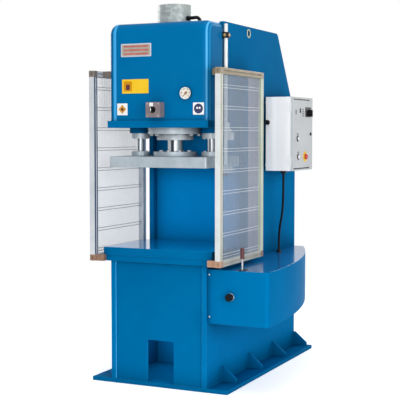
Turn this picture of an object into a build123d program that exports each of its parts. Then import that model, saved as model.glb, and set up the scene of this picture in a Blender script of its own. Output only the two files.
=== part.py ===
from build123d import *
import math
import os

os.makedirs("parts", exist_ok=True)

# Gap-frame hydraulic press with a fixed table, a guided platen and side guards.
# X runs across the front, +Y to the back and +Z up, all in millimetres.
# The origin is the middle of the floor plate's underside.

# Floor plate, its anchor holes and the gussets that tie it to the side plates
plate_width = 980
plate_depth = 1610
plate_thickness = 25
anchor_radius = 11
anchor_side_edge = 40
anchor_end_edge = 135
gusset_height = 97
gusset_reach = 110
gusset_toe = 20
gusset_thickness = 15
gusset_rows = 4
gusset_start = 240
gusset_end_margin = 20

# Side plates: a C outline with a straight rear slope, seen from the side
side_thickness = 30
frame_height = 2365
pedestal_height = 810
throat_depth = 540
head_setback = 268
top_reach = 1230
slope_foot_height = 1760
frame_corner_radius = 45
lift_hole_radius = 22
lift_hole_reach = 680
lift_hole_drop = 45

# Plates between the side plates
web_thickness = 12
web_inset = 8
column_setback = 60
column_thickness = 20
opening_width = 190
opening_height = 280
opening_offset = 15

# Table: a sub-plate on the pedestal and a thick bolster on it
sub_width = 770
sub_thickness = 40
sub_overhang = 12
bolster_width = 782
bolster_thickness = 50
bolster_overhang = 15
tongue_gap = 1
bolster_chamfer = 3

# Head: a thick plate that carries the cylinder, ribs and a sheet cover
daylight = 780
head_rod_gap = 2
head_plate_thickness = 45
head_plate_overhang = 12
rib_spacing = 350
rib_thickness = 20
rib_share = 0.67
rib_nose_share = 0.22
cover_sheet = 3
cover_depth = 208
cover_drop = 12
cover_corner_radius = 48
cover_brow_radius = 75
rib_setback = 35
cover_hole_gap = 4

# Cylinder, gland, piston and rod on one vertical axis
cylinder_setback = 256
barrel_radius = 113
bore_radius = 80
barrel_rise = 63
barrel_flange_radius = 150
barrel_flange_thickness = 35
cap_thickness = 52
cap_spigot = 30
cap_edge_radius = 9
piston_length = 90
piston_gap = 5
piston_groove_depth = 4
piston_seal_width = 9
piston_seal_count = 3
rod_radius = 50
gland_flange_radius = 182.5
gland_flange_thickness = 40
gland_spigot = 40
rod_gland_radius = 122.5
rod_gland_thickness = 40
gland_bolt_count = 8
gland_bolt_radius = 10
gland_bolt_edge = 27.5
gland_bolt_head = 16
gland_bolt_head_height = 13
gland_bolt_reach = 30
running_fit = 0.08
turning_gap = 0.3
seat_fit = 0.05
hole_clearance = 0.5

# Guide rods beside the cylinder
guide_housing_gap = 9.5
guide_wall_gap = 53
guide_radius = 25
guide_housing_radius = 70
guide_housing_thickness = 35
guide_sleeve_radius = 45
guide_sleeve_length = 170
guide_flange_radius = 62.5
guide_flange_thickness = 35
guide_collar_radius = 65
guide_rod_top_gap = 75

# Platen and the split flange that ties it to the piston rod
platen_rest_gap = 186
platen_width = 700
platen_depth = 530
platen_thickness = 70
platen_corner_radius = 14
rod_flange_radius = 145
rod_flange_thickness = 30
rod_flange_split = 1.5
rod_flange_angle = 66

# Stroke rod with its trip dog, at the right end of the platen
stroke_rod_radius = 12
stroke_rod_offset = 24
stroke_rod_setback = 233
stroke_rod_top_gap = 21
stroke_block_height = 50
stroke_block_depth = 96
stroke_block_drop = 30
stroke_block_margin = 20
stroke_rod_chamfer = 2
stroke_stud_radius = 5
stroke_stud_length = 26
dog_radius = 22
dog_height = 38
dog_drop = 54
dog_pin_radius = 5
dog_pin_length = 46
clamp_knob_radius = 15
clamp_knob_height = 24
clamp_knob_scallops = 6

# Limit switch on a strip below the head plate's right edge, under the trip dog's pin
switch_drop = 80
switch_setback = 306
switch_body_height = 50
switch_body_depth = 60
switch_body_width = 42
switch_roller_radius = 9
switch_roller_width = 10
switch_stem_radius = 4
switch_stem_height = 14
switch_strip_thickness = 4
switch_strip_width = 30
switch_strip_lap = 35

# Pressure gauge and selector box on the head cover
gauge_x = 205
gauge_rise = 171
gauge_radius = 38
gauge_depth = 16
gauge_rim = 4
gauge_recess = 7
gauge_stem_radius = 7
gauge_stem_length = 60
needle_length = 26
needle_width = 2.4
needle_thickness = 1
needle_hub_radius = 4
needle_gap = 0.5
needle_angle = 225
selector_box_width = 100
selector_box_height = 96
selector_box_depth = 65
selector_box_rise = 68
selector_box_corner = 6
selector_radius = 14
selector_length = 16
selector_grip_width = 7
selector_grip_depth = 12

# Power unit under its cover on the right side of the pedestal
unit_drop = 25
unit_height = 344
unit_width = 408
unit_front = 25
unit_shoulder = 75
unit_rear_gap = 10
unit_rear_width = 75
unit_sheet = 3
unit_fold_radius = 25
tank_width = 250
tank_front = 45
tank_length = 950
tank_height = 127
tank_corner = 12
valve_offset = 185
valve_width = 170
valve_depth = 140
valve_height = 160
valve_setback = 4
pump_offset = 125
pump_radius = 48
pump_length = 130
pump_front = 235
pump_foot_margin = 20
shaft_height = 95
motor_radius = 72
motor_length = 330
motor_gap = 60
motor_bore_radius = 41
rotor_radius = 40
rotor_margin = 30
rotor_gap = 2
shaft_radius = 12
coupling_radius = 26
coupling_length = 40
foot_width = 150
foot_height = 24
foot_sink = 30

# Hand lever and pressure knob of the power unit
lever_offset = 220
lever_setback = 62
lever_pivot_drop = 36
lever_radius = 6
lever_length = 180
lever_grip_radius = 13
lever_grip_length = 70
lever_grip_cap = 10
lever_grip_round = 6
lever_tilt = 15
lever_hub_radius = 9
lever_hub_width = 14
lever_pin_radius = 4
lever_ear_thickness = 6
lever_ear_gap = 1
slot_gap = 3
knob_offset = 155
knob_rise = 177
knob_radius = 24
knob_length = 34
knob_stem_radius = 8
knob_stem_lap = 35
knob_bore_depth = 40
knob_scallops = 5
knob_scallop_radius = 7
knob_scallop_offset = 4
knob_edge = 3
knob_gap = 2

# Electrical enclosure on the right side plate
enclosure_rear_gap = 235
enclosure_depth = 410
enclosure_bottom = 1380
enclosure_height = 520
enclosure_width = 186
enclosure_sheet = 2
enclosure_standoff = 16
standoff_radius = 10
standoff_inset = 40
door_depth = 18
door_gap = 0.4
door_corner = 4
hinge_pin_radius = 3
hinge_length = 60
hinge_inset = 70
hinge_leaf = 24
panel_margin = 40
panel_thickness = 3
contactor_width = 60
contactor_height = 85
contactor_depth = 70
contactor_count = 4
contactor_rows = (0.3, 0.7)

# Controls on the enclosure door: places are measured from its front lower corner
main_switch_y = 338
main_switch_z = 413
main_switch_radius = 24
main_switch_base = 8
main_switch_grip = 18
main_switch_grip_width = 14
main_switch_overhang = 4
start_button_y = 97
start_button_z = 227
reset_button_y = 109
reset_button_z = 98
button_radius = 14
button_bezel_height = 4
button_height = 6
button_stroke = 4
button_margin = 2
button_edge = 1.5
stop_button_y = 251
stop_button_z = 97
stop_button_radius = 20
stop_button_stem = 10
stop_button_height = 12
stop_button_edge = 5
stop_button_gap = 7
latch_y = 357
latch_z = 259
latch_radius = 11
latch_height = 9
latch_slot_width = 4
latch_slot_depth = 3
latch_tail = 14

# Cables and hose, each held at both ends
gland_radius = 13
gland_length = 22
power_cable_radius = 8
switch_cable_radius = 6
cable_lap = 2
cable_entry_lead = 65
cable_entry_rise = 341
power_gland_offset_x = 118
power_gland_offset_y = 45
switch_gland_offset = 14
power_foot_offset = 55
power_foot_lag = 165
hose_radius = 11
hose_fitting_radius = 16
hose_fitting_length = 34
hose_fitting_drop = 40
hose_angle = -20
hose_rib_gap = 25
hose_fitting_root = 6
hose_nut_start = 4
hose_nut_length = 14

# Power cable run: shifts in X and Y from the gland with drops below the enclosure,
# then shifts from the foot with rises above the power unit
power_cable_drops = [(0, 0, 100), (-6, 12, 210), (-22, 36, 310)]
power_cable_rises = [(26, -46, 200), (0, 0, 100)]

# Side guards: aluminium profiles round a clear sheet, on brackets
guard_offset = 85
guard_profile = 40
guard_front = -60
guard_rear_lap = 110
guard_height = 1240
guard_panel_thickness = 5
guard_rebate = 6
guard_leg_lap = 11
guard_arm_start = 52
guard_arm_width = 30

# Places worked out from the sizes above
front = -plate_depth / 2
rear = plate_depth / 2
guide_x = gland_flange_radius + guide_housing_gap + guide_housing_radius
inner_x = guide_x + guide_wall_gap
side_x = inner_x + side_thickness
gland_bolt_circle = gland_flange_radius - gland_bolt_edge
throat_y = front + throat_depth
column_y = throat_y + column_setback
sub_top = pedestal_height + sub_thickness
table_top = sub_top + bolster_thickness
head_underside = table_top + daylight
head_seat = head_underside + head_plate_thickness
axis_y = front + cylinder_setback
platen_top = head_underside - platen_rest_gap
platen_bottom = platen_top - platen_thickness
barrel_top = frame_height + barrel_rise
cover_top = frame_height - cover_drop
rib_top = head_seat + rib_share * (cover_top - head_seat)
rib_nose = head_seat + rib_nose_share * (cover_top - head_seat)
cover_rear = front + cover_depth
stroke_x = platen_width / 2 + stroke_rod_offset
head_plate_x = stroke_x - stroke_rod_radius - head_rod_gap
piston_top = barrel_top - cap_spigot - piston_gap
piston_bottom = piston_top - piston_length
unit_top = pedestal_height - unit_drop
unit_bottom = unit_top - unit_height
unit_rear = plate_depth - unit_rear_gap
unit_outer_x = side_x + unit_width
unit_inward = unit_width - unit_rear_width
unit_run = unit_rear - unit_front - unit_shoulder
unit_sweep_radius = (unit_run**2 + unit_inward**2) / (2 * unit_inward)
valve_x = side_x + valve_offset
pump_x = side_x + pump_offset
lever_x = side_x + lever_offset
knob_x = side_x + knob_offset
tank_top = unit_bottom + unit_sheet + tank_height
shaft_z = tank_top + shaft_height
gauge_z = head_seat + gauge_rise
selector_box_z = head_seat + selector_box_rise
knob_z = unit_bottom + knob_rise
enclosure_front = plate_depth - enclosure_rear_gap - enclosure_depth
guard_bottom = pedestal_height
guard_top = guard_bottom + guard_height
bore_fit_radius = rod_radius + running_fit
guide_bore_radius = guide_radius + running_fit
hose_out = (math.cos(math.radians(hose_angle)), math.sin(math.radians(hose_angle)), 0)
hose_x = rib_spacing / 2 + rib_thickness / 2 + hose_rib_gap + hose_radius
hose_reach = hose_x / hose_out[0]


def block(x_span, y_span, z_span, mode=Mode.ADD):
    """Box between a low and a high limit on each axis."""
    spans = (x_span, y_span, z_span)
    middle = tuple((low + high) / 2 for low, high in spans)
    sizes = tuple(high - low for low, high in spans)
    with Locations(middle):
        Box(*sizes, mode=mode)


def round_bar(start, direction, radius, length, mode=Mode.ADD):
    """Cylinder that leaves a point along a direction."""
    with Locations(Plane(origin=start, z_dir=direction).location):
        Cylinder(radius, length, align=(Align.CENTER, Align.CENTER, Align.MIN), mode=mode)


def slope_y(z, inset):
    """Y of the rear slope at a height, for a line set in from the outline."""
    run = rear - (front + top_reach)
    rise = frame_height - slope_foot_height
    length = math.hypot(run, rise)
    return rear - (z - slope_foot_height) * run / rise - inset * length / rise


def slope_z(y, inset):
    """Height of the rear slope at a Y, for a line set in from the outline."""
    run = rear - (front + top_reach)
    rise = frame_height - slope_foot_height
    length = math.hypot(run, rise)
    return slope_foot_height + (rear - y) * rise / run - inset * length / run


# Floor plate with four anchor holes
with BuildPart() as floor_plate:
    with BuildSketch(Plane.XY):
        Rectangle(plate_width, plate_depth)
        with GridLocations(plate_width - 2 * anchor_side_edge, plate_depth - 2 * anchor_end_edge, 2, 2):
            Circle(anchor_radius, mode=Mode.SUBTRACT)
    extrude(amount=plate_thickness)
floor_plate.part.label = "floor_plate"
export_step(floor_plate.part, "parts/floor_plate.step")

# Gussets between the side plates and the overhang of the floor plate
gusset_pitch = (plate_depth - gusset_start - gusset_end_margin) / (gusset_rows - 1)
gusset_rows_y = [front + gusset_start + row * gusset_pitch for row in range(gusset_rows)]
with BuildPart() as base_gussets:
    for row_y in gusset_rows_y:
        for side in (-1, 1):
            with BuildSketch(Plane.XZ.offset(-row_y - gusset_thickness / 2)):
                with BuildLine():
                    Polyline(
                        (side * side_x, plate_thickness),
                        (side * (side_x + gusset_reach), plate_thickness),
                        (side * (side_x + gusset_reach), plate_thickness + gusset_toe),
                        (side * (side_x + gusset_toe), plate_thickness + gusset_height),
                        (side * side_x, plate_thickness + gusset_height),
                        close=True,
                    )
                make_face()
            extrude(amount=gusset_thickness)
base_gussets.part.label = "base_gussets"
export_step(base_gussets.part, "parts/base_gussets.step")


def side_outline():
    """Points of the C outline in Y and Z, from the front foot round the throat."""
    return [
        (front, plate_thickness),
        (front, pedestal_height),
        (throat_y, pedestal_height),
        (throat_y, head_seat),
        (front + head_setback, head_seat),
        (front + head_setback, frame_height),
        (front + top_reach, frame_height),
        (rear, slope_foot_height),
        (rear, plate_thickness),
    ]


# Left side plate
with BuildPart() as left_side_plate:
    with BuildSketch(Plane.YZ.offset(-side_x)) as left_outline:
        with BuildLine():
            Polyline(*side_outline(), close=True)
        make_face()
        fillet(left_outline.vertices().group_by(Axis.Y)[-1].sort_by(Axis.X)[-1], frame_corner_radius)
        with Locations((front + lift_hole_reach, frame_height - lift_hole_drop)):
            Circle(lift_hole_radius, mode=Mode.SUBTRACT)
    extrude(amount=side_thickness)
left_side_plate.part.label = "left_side_plate"
export_step(left_side_plate.part, "parts/left_side_plate.step")

# Right side plate, with the hole where the switch cable enters the frame
cable_entry_y = front + enclosure_front - cable_entry_lead
cable_entry_z = enclosure_bottom + cable_entry_rise
with BuildPart() as right_side_plate:
    with BuildSketch(Plane.YZ.offset(inner_x)) as right_outline:
        with BuildLine():
            Polyline(*side_outline(), close=True)
        make_face()
        fillet(right_outline.vertices().group_by(Axis.Y)[-1].sort_by(Axis.X)[-1], frame_corner_radius)
        with Locations((front + lift_hole_reach, frame_height - lift_hole_drop)):
            Circle(lift_hole_radius, mode=Mode.SUBTRACT)
        with Locations((cable_entry_y, cable_entry_z)):
            Circle(switch_cable_radius + hole_clearance, mode=Mode.SUBTRACT)
    extrude(amount=side_thickness)
right_side_plate.part.label = "right_side_plate"
export_step(right_side_plate.part, "parts/right_side_plate.step")

# Pedestal front plate with the opening at its foot
with BuildPart() as pedestal_front_plate:
    with BuildSketch(Plane.XZ.offset(-front - web_inset)):
        with Locations((0, (plate_thickness + pedestal_height) / 2)):
            Rectangle(2 * inner_x, pedestal_height - plate_thickness)
        with Locations((opening_offset, plate_thickness + opening_height / 2)):
            Rectangle(opening_width, opening_height, mode=Mode.SUBTRACT)
    extrude(amount=-web_thickness)
pedestal_front_plate.part.label = "pedestal_front_plate"
export_step(pedestal_front_plate.part, "parts/pedestal_front_plate.step")

# Rear plate: one bent plate up the back, along the slope and over the head
rear_outer = rear - web_inset
rear_inner = rear_outer - web_thickness
top_outer = frame_height - web_inset
top_inner = top_outer - web_thickness
inner_inset = web_inset + web_thickness
with BuildPart() as rear_plate:
    with BuildSketch(Plane.YZ.offset(-inner_x)):
        with BuildLine():
            Polyline(
                (rear_outer, plate_thickness),
                (rear_outer, slope_z(rear_outer, web_inset)),
                (slope_y(top_outer, web_inset), top_outer),
                (front + head_setback, top_outer),
                (front + head_setback, top_inner),
                (slope_y(top_inner, inner_inset), top_inner),
                (rear_inner, slope_z(rear_inner, inner_inset)),
                (rear_inner, plate_thickness),
                close=True,
            )
        make_face()
    extrude(amount=2 * inner_x)
    round_bar(
        (0, axis_y, top_inner),
        (0, 0, 1),
        barrel_radius + cover_hole_gap,
        web_thickness,
        Mode.SUBTRACT,
    )
rear_plate.part.label = "rear_plate"
export_step(rear_plate.part, "parts/rear_plate.step")

# Column front plate: the back wall of the throat, from floor to top
with BuildPart() as column_plate:
    block((-inner_x, inner_x), (column_y, column_y + column_thickness), (plate_thickness, top_inner))
column_plate.part.label = "column_plate"
export_step(column_plate.part, "parts/column_plate.step")

# Table sub-plate, with a tongue that fills the throat behind it
with BuildPart() as table_sub_plate:
    with BuildSketch(Plane.XY.offset(pedestal_height)):
        with BuildLine():
            Polyline(
                (-sub_width / 2, front - sub_overhang),
                (sub_width / 2, front - sub_overhang),
                (sub_width / 2, throat_y),
                (inner_x, throat_y),
                (inner_x, column_y),
                (-inner_x, column_y),
                (-inner_x, throat_y),
                (-sub_width / 2, throat_y),
                close=True,
            )
        make_face()
    extrude(amount=sub_thickness)
table_sub_plate.part.label = "table_sub_plate"
export_step(table_sub_plate.part, "parts/table_sub_plate.step")

# Bolster: the machined table top
tongue_x = inner_x - tongue_gap
bolster_rear = throat_y - tongue_gap
with BuildPart() as bolster_table:
    with BuildSketch(Plane.XY.offset(sub_top)):
        with BuildLine():
            Polyline(
                (-bolster_width / 2, front - bolster_overhang),
                (bolster_width / 2, front - bolster_overhang),
                (bolster_width / 2, bolster_rear),
                (tongue_x, bolster_rear),
                (tongue_x, column_y - tongue_gap),
                (-tongue_x, column_y - tongue_gap),
                (-tongue_x, bolster_rear),
                (-bolster_width / 2, bolster_rear),
                close=True,
            )
        make_face()
    extrude(amount=bolster_thickness)
    chamfer(bolster_table.faces().sort_by(Axis.Z)[-1].edges(), bolster_chamfer)
bolster_table.part.label = "bolster_table"
export_step(bolster_table.part, "parts/bolster_table.step")

# Head plate, bored for the gland, the guides and the gland bolts
with BuildPart() as head_plate:
    with BuildSketch(Plane.XY.offset(head_underside)):
        with BuildLine():
            Polyline(
                (-head_plate_x, front - head_plate_overhang),
                (head_plate_x, front - head_plate_overhang),
                (head_plate_x, throat_y),
                (inner_x, throat_y),
                (inner_x, column_y),
                (-inner_x, column_y),
                (-inner_x, throat_y),
                (-head_plate_x, throat_y),
                close=True,
            )
        make_face()
        with Locations((0, axis_y)):
            Circle(bore_radius + hole_clearance, mode=Mode.SUBTRACT)
        with Locations((-guide_x, axis_y), (guide_x, axis_y)):
            Circle(guide_sleeve_radius + hole_clearance, mode=Mode.SUBTRACT)
    extrude(amount=head_plate_thickness)
    with Locations((0, axis_y, head_underside)):
        with PolarLocations(gland_bolt_circle, gland_bolt_count, start_angle=180 / gland_bolt_count):
            Cylinder(
                gland_bolt_radius + hole_clearance,
                gland_bolt_reach + hole_clearance,
                align=(Align.CENTER, Align.CENTER, Align.MIN),
                mode=Mode.SUBTRACT,
            )
head_plate.part.label = "head_plate"
export_step(head_plate.part, "parts/head_plate.step")

# Ribs on the head plate, one each side of the cylinder
with BuildPart() as head_ribs:
    for side in (-1, 1):
        with BuildSketch(Plane.YZ.offset(side * rib_spacing / 2 - rib_thickness / 2)):
            with BuildLine():
                Polyline(
                    (front + rib_setback, head_seat),
                    (column_y, head_seat),
                    (column_y, rib_top),
                    (front + head_setback, rib_top),
                    (front + rib_setback, rib_nose),
                    close=True,
                )
            make_face()
        extrude(amount=rib_thickness)
head_ribs.part.label = "head_ribs"
export_step(head_ribs.part, "parts/head_ribs.step")

# Head cover: folded sheet round the front, the sides and the top
with BuildPart() as head_cover:
    block((-head_plate_x, head_plate_x), (front, cover_rear), (head_seat, cover_top))
    cover_brow = head_cover.edges().filter_by(Axis.X).group_by(Axis.Z)[-1].sort_by(Axis.Y)[0]
    fillet(cover_brow, cover_brow_radius)
    cover_ends = head_cover.faces().filter_by(Axis.X).sort_by(Axis.X)
    for cover_end in (cover_ends[0], cover_ends[-1]):
        end_folds = cover_end.edges().sort_by(Axis.Z)[1:].sort_by(Axis.Y)[:-1]
        fillet(end_folds, cover_corner_radius)
    cover_rear_face = head_cover.faces().sort_by(Axis.Y)[-1]
    cover_bottom_face = head_cover.faces().sort_by(Axis.Z)[0]
    offset(amount=-cover_sheet, openings=[cover_rear_face, cover_bottom_face])
    round_bar(
        (0, axis_y, cover_top - 2 * cover_sheet),
        (0, 0, 1),
        barrel_radius + cover_hole_gap,
        4 * cover_sheet,
        Mode.SUBTRACT,
    )
    round_bar(
        (gauge_x, front - cover_sheet, gauge_z),
        (0, 1, 0),
        gauge_stem_radius + hole_clearance,
        3 * cover_sheet,
        Mode.SUBTRACT,
    )
    round_bar(
        (hose_out[0] * hose_reach, axis_y + hose_out[1] * hose_reach, cover_top - 2 * cover_sheet),
        (0, 0, 1),
        hose_radius + hole_clearance,
        4 * cover_sheet,
        Mode.SUBTRACT,
    )
head_cover.part.label = "head_cover"
export_step(head_cover.part, "parts/head_cover.step")

# Cylinder barrel with its mounting flange
with BuildPart() as cylinder_barrel:
    with BuildSketch(Plane.XY.offset(head_seat)):
        with Locations((0, axis_y)):
            Circle(barrel_radius)
            Circle(bore_radius, mode=Mode.SUBTRACT)
    extrude(amount=barrel_top - head_seat)
    with BuildSketch(Plane.XY.offset(head_seat)):
        with Locations((0, axis_y)):
            Circle(barrel_flange_radius)
            Circle(bore_radius, mode=Mode.SUBTRACT)
    extrude(amount=barrel_flange_thickness)
cylinder_barrel.part.label = "cylinder_barrel"
export_step(cylinder_barrel.part, "parts/cylinder_barrel.step")

# Cylinder cap, with a spigot in the bore and a rounded top edge
with BuildPart() as cylinder_cap:
    round_bar((0, axis_y, barrel_top), (0, 0, 1), barrel_radius, cap_thickness)
    fillet(cylinder_cap.edges().sort_by(Axis.Z)[-1], cap_edge_radius)
    round_bar(
        (0, axis_y, barrel_top - cap_spigot),
        (0, 0, 1),
        bore_radius - seat_fit,
        cap_spigot,
    )
cylinder_cap.part.label = "cylinder_cap"
export_step(cylinder_cap.part, "parts/cylinder_cap.step")

# Gland flange, whose spigot passes the head plate into the barrel
with BuildPart() as gland_flange:
    with BuildSketch(Plane.XY.offset(head_underside - gland_flange_thickness)):
        with Locations((0, axis_y)):
            Circle(gland_flange_radius)
            Circle(bore_fit_radius, mode=Mode.SUBTRACT)
            with PolarLocations(gland_bolt_circle, gland_bolt_count, start_angle=180 / gland_bolt_count):
                Circle(gland_bolt_radius + hole_clearance, mode=Mode.SUBTRACT)
    extrude(amount=gland_flange_thickness)
    with BuildSketch(Plane.XY.offset(head_underside)):
        with Locations((0, axis_y)):
            Circle(bore_radius - seat_fit)
            Circle(bore_fit_radius, mode=Mode.SUBTRACT)
    extrude(amount=head_plate_thickness + gland_spigot)
gland_flange.part.label = "gland_flange"
export_step(gland_flange.part, "parts/gland_flange.step")

# Gland bolts, with hexagon heads under the flange
bolt_seat = head_underside - gland_flange_thickness
with BuildPart() as gland_bolts:
    with BuildSketch(Plane.XY.offset(bolt_seat - gland_bolt_head_height)):
        with Locations((0, axis_y)):
            with PolarLocations(gland_bolt_circle, gland_bolt_count, start_angle=180 / gland_bolt_count):
                RegularPolygon(gland_bolt_head, 6)
    extrude(amount=gland_bolt_head_height)
    with BuildSketch(Plane.XY.offset(bolt_seat)):
        with Locations((0, axis_y)):
            with PolarLocations(gland_bolt_circle, gland_bolt_count, start_angle=180 / gland_bolt_count):
                Circle(gland_bolt_radius)
    extrude(amount=gland_flange_thickness + gland_bolt_reach)
gland_bolts.part.label = "gland_bolts"
export_step(gland_bolts.part, "parts/gland_bolts.step")

# Rod gland: the wiper housing under the flange
with BuildPart() as rod_gland:
    with BuildSketch(Plane.XY.offset(bolt_seat - rod_gland_thickness)):
        with Locations((0, axis_y)):
            Circle(rod_gland_radius)
            Circle(bore_fit_radius, mode=Mode.SUBTRACT)
    extrude(amount=rod_gland_thickness)
rod_gland.part.label = "rod_gland"
export_step(rod_gland.part, "parts/rod_gland.step")

# Guide housings: a flange under the head plate and a sleeve through it
with BuildPart() as guide_housings:
    with BuildSketch(Plane.XY.offset(head_underside - guide_housing_thickness)):
        with Locations((-guide_x, axis_y), (guide_x, axis_y)):
            Circle(guide_housing_radius)
            Circle(guide_bore_radius, mode=Mode.SUBTRACT)
    extrude(amount=guide_housing_thickness)
    with BuildSketch(Plane.XY.offset(head_underside)):
        with Locations((-guide_x, axis_y), (guide_x, axis_y)):
            Circle(guide_sleeve_radius)
            Circle(guide_bore_radius, mode=Mode.SUBTRACT)
    extrude(amount=guide_sleeve_length)
guide_housings.part.label = "guide_housings"
export_step(guide_housings.part, "parts/guide_housings.step")

# Guide flanges: the bright retaining rings under the housings
guide_flange_bottom = head_underside - guide_housing_thickness - guide_flange_thickness
with BuildPart() as guide_flanges:
    with BuildSketch(Plane.XY.offset(guide_flange_bottom)):
        with Locations((-guide_x, axis_y), (guide_x, axis_y)):
            Circle(guide_flange_radius)
            Circle(guide_bore_radius, mode=Mode.SUBTRACT)
    extrude(amount=guide_flange_thickness)
guide_flanges.part.label = "guide_flanges"
export_step(guide_flanges.part, "parts/guide_flanges.step")

# Piston with grooves for its seals
seal_pitch = piston_length / (piston_seal_count + 1)
seal_levels = [piston_bottom + (index + 1) * seal_pitch for index in range(piston_seal_count)]
groove_radius = bore_radius - piston_groove_depth
with BuildPart() as piston:
    round_bar((0, axis_y, piston_bottom), (0, 0, 1), bore_radius - running_fit, piston_length)
    for level in seal_levels:
        with BuildSketch(Plane.XY.offset(level - piston_seal_width / 2)):
            with Locations((0, axis_y)):
                Circle(bore_radius + 1)
                Circle(groove_radius, mode=Mode.SUBTRACT)
        extrude(amount=piston_seal_width, mode=Mode.SUBTRACT)
piston.part.label = "piston"
export_step(piston.part, "parts/piston.step")

# Piston seals, one ring in each groove
with BuildPart() as piston_seals:
    for level in seal_levels:
        with BuildSketch(Plane.XY.offset(level - piston_seal_width / 2 + seat_fit)):
            with Locations((0, axis_y)):
                Circle(bore_radius - running_fit)
                Circle(groove_radius + seat_fit, mode=Mode.SUBTRACT)
        extrude(amount=piston_seal_width - 2 * seat_fit)
piston_seals.part.label = "piston_seals"
export_step(piston_seals.part, "parts/piston_seals.step")

# Piston rod, from the platen up to the piston
with BuildPart() as piston_rod:
    round_bar((0, axis_y, platen_top), (0, 0, 1), rod_radius, piston_bottom - platen_top)
piston_rod.part.label = "piston_rod"
export_step(piston_rod.part, "parts/piston_rod.step")

# Rod flange: two half rings that clamp the rod to the platen
with BuildPart() as rod_flange:
    with BuildSketch(Plane.XY.offset(platen_top)):
        with Locations((0, axis_y)):
            Circle(rod_flange_radius)
            Circle(rod_radius + seat_fit, mode=Mode.SUBTRACT)
            with Locations(Rotation(0, 0, rod_flange_angle)):
                Rectangle(2 * rod_flange_radius + 2, rod_flange_split, mode=Mode.SUBTRACT)
    extrude(amount=rod_flange_thickness)
rod_flange.part.label = "rod_flange"
export_step(rod_flange.part, "parts/rod_flange.step")

# Platen: a thick plate with rounded upright corners
with BuildPart() as platen:
    with BuildSketch(Plane.XY.offset(platen_bottom)):
        with Locations((0, axis_y)):
            RectangleRounded(platen_width, platen_depth, platen_corner_radius)
    extrude(amount=platen_thickness)
    chamfer(platen.faces().sort_by(Axis.Z)[0].edges(), bolster_chamfer)
    chamfer(platen.faces().sort_by(Axis.Z)[-1].edges(), bolster_chamfer)
platen.part.label = "platen"
export_step(platen.part, "parts/platen.step")

# Guide rods, from the platen up into the head
guide_rod_length = frame_height - guide_rod_top_gap - platen_top
with BuildPart() as guide_rods:
    for side in (-1, 1):
        round_bar((side * guide_x, axis_y, platen_top), (0, 0, 1), guide_radius, guide_rod_length)
guide_rods.part.label = "guide_rods"
export_step(guide_rods.part, "parts/guide_rods.step")

# Guide collars that hold the rods on the platen
with BuildPart() as guide_collars:
    with BuildSketch(Plane.XY.offset(platen_top)):
        with Locations((-guide_x, axis_y), (guide_x, axis_y)):
            Circle(guide_collar_radius)
            Circle(guide_radius + seat_fit, mode=Mode.SUBTRACT)
    extrude(amount=rod_flange_thickness)
guide_collars.part.label = "guide_collars"
export_step(guide_collars.part, "parts/guide_collars.step")

# Stroke block on the right end of the platen
stroke_y = front + stroke_rod_setback
stroke_block_bottom = platen_bottom - stroke_block_drop
stroke_block_top = stroke_block_bottom + stroke_block_height
stroke_rod_top = frame_height - stroke_rod_top_gap
stroke_rod_length = stroke_rod_top - stroke_block_bottom
with BuildPart() as stroke_block:
    block(
        (platen_width / 2, stroke_x + stroke_block_margin),
        (stroke_y - stroke_rod_offset, stroke_y - stroke_rod_offset + stroke_block_depth),
        (stroke_block_bottom, stroke_block_top),
    )
    round_bar(
        (stroke_x, stroke_y, stroke_block_bottom),
        (0, 0, 1),
        stroke_rod_radius + seat_fit,
        stroke_block_height,
        Mode.SUBTRACT,
    )
stroke_block.part.label = "stroke_block"
export_step(stroke_block.part, "parts/stroke_block.step")

# Stroke rod, with a stud below the block for the clamp knob
with BuildPart() as stroke_rod:
    round_bar((stroke_x, stroke_y, stroke_block_bottom), (0, 0, 1), stroke_rod_radius, stroke_rod_length)
    chamfer(stroke_rod.edges().sort_by(Axis.Z)[-1], stroke_rod_chamfer)
    round_bar(
        (stroke_x, stroke_y, stroke_block_bottom),
        (0, 0, -1),
        stroke_stud_radius,
        stroke_stud_length,
    )
stroke_rod.part.label = "stroke_rod"
export_step(stroke_rod.part, "parts/stroke_rod.step")

# Trip dog clamped on the stroke rod, with its pin
dog_top = stroke_rod_top - dog_drop
with BuildPart() as trip_dog:
    round_bar((stroke_x, stroke_y, dog_top - dog_height), (0, 0, 1), dog_radius, dog_height)
    round_bar(
        (stroke_x, stroke_y + stroke_rod_radius, dog_top - dog_height / 2),
        (0, 1, 0),
        dog_pin_radius,
        dog_pin_length + dog_radius - stroke_rod_radius,
    )
    round_bar(
        (stroke_x, stroke_y, dog_top - dog_height),
        (0, 0, 1),
        stroke_rod_radius + seat_fit,
        dog_height,
        Mode.SUBTRACT,
    )
trip_dog.part.label = "trip_dog"
export_step(trip_dog.part, "parts/trip_dog.step")

# Clamp knob that turns on the stud below the stroke block
with BuildPart() as clamp_knob:
    with BuildSketch(Plane.XY.offset(stroke_block_bottom - knob_gap - clamp_knob_height)):
        with Locations((stroke_x, stroke_y)):
            Circle(clamp_knob_radius)
            with PolarLocations(clamp_knob_radius, clamp_knob_scallops):
                Circle(clamp_knob_radius / 6, mode=Mode.SUBTRACT)
            Circle(stroke_stud_radius + running_fit, mode=Mode.SUBTRACT)
    extrude(amount=clamp_knob_height)
clamp_knob.part.label = "clamp_knob"
export_step(clamp_knob.part, "parts/clamp_knob.step")

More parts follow.
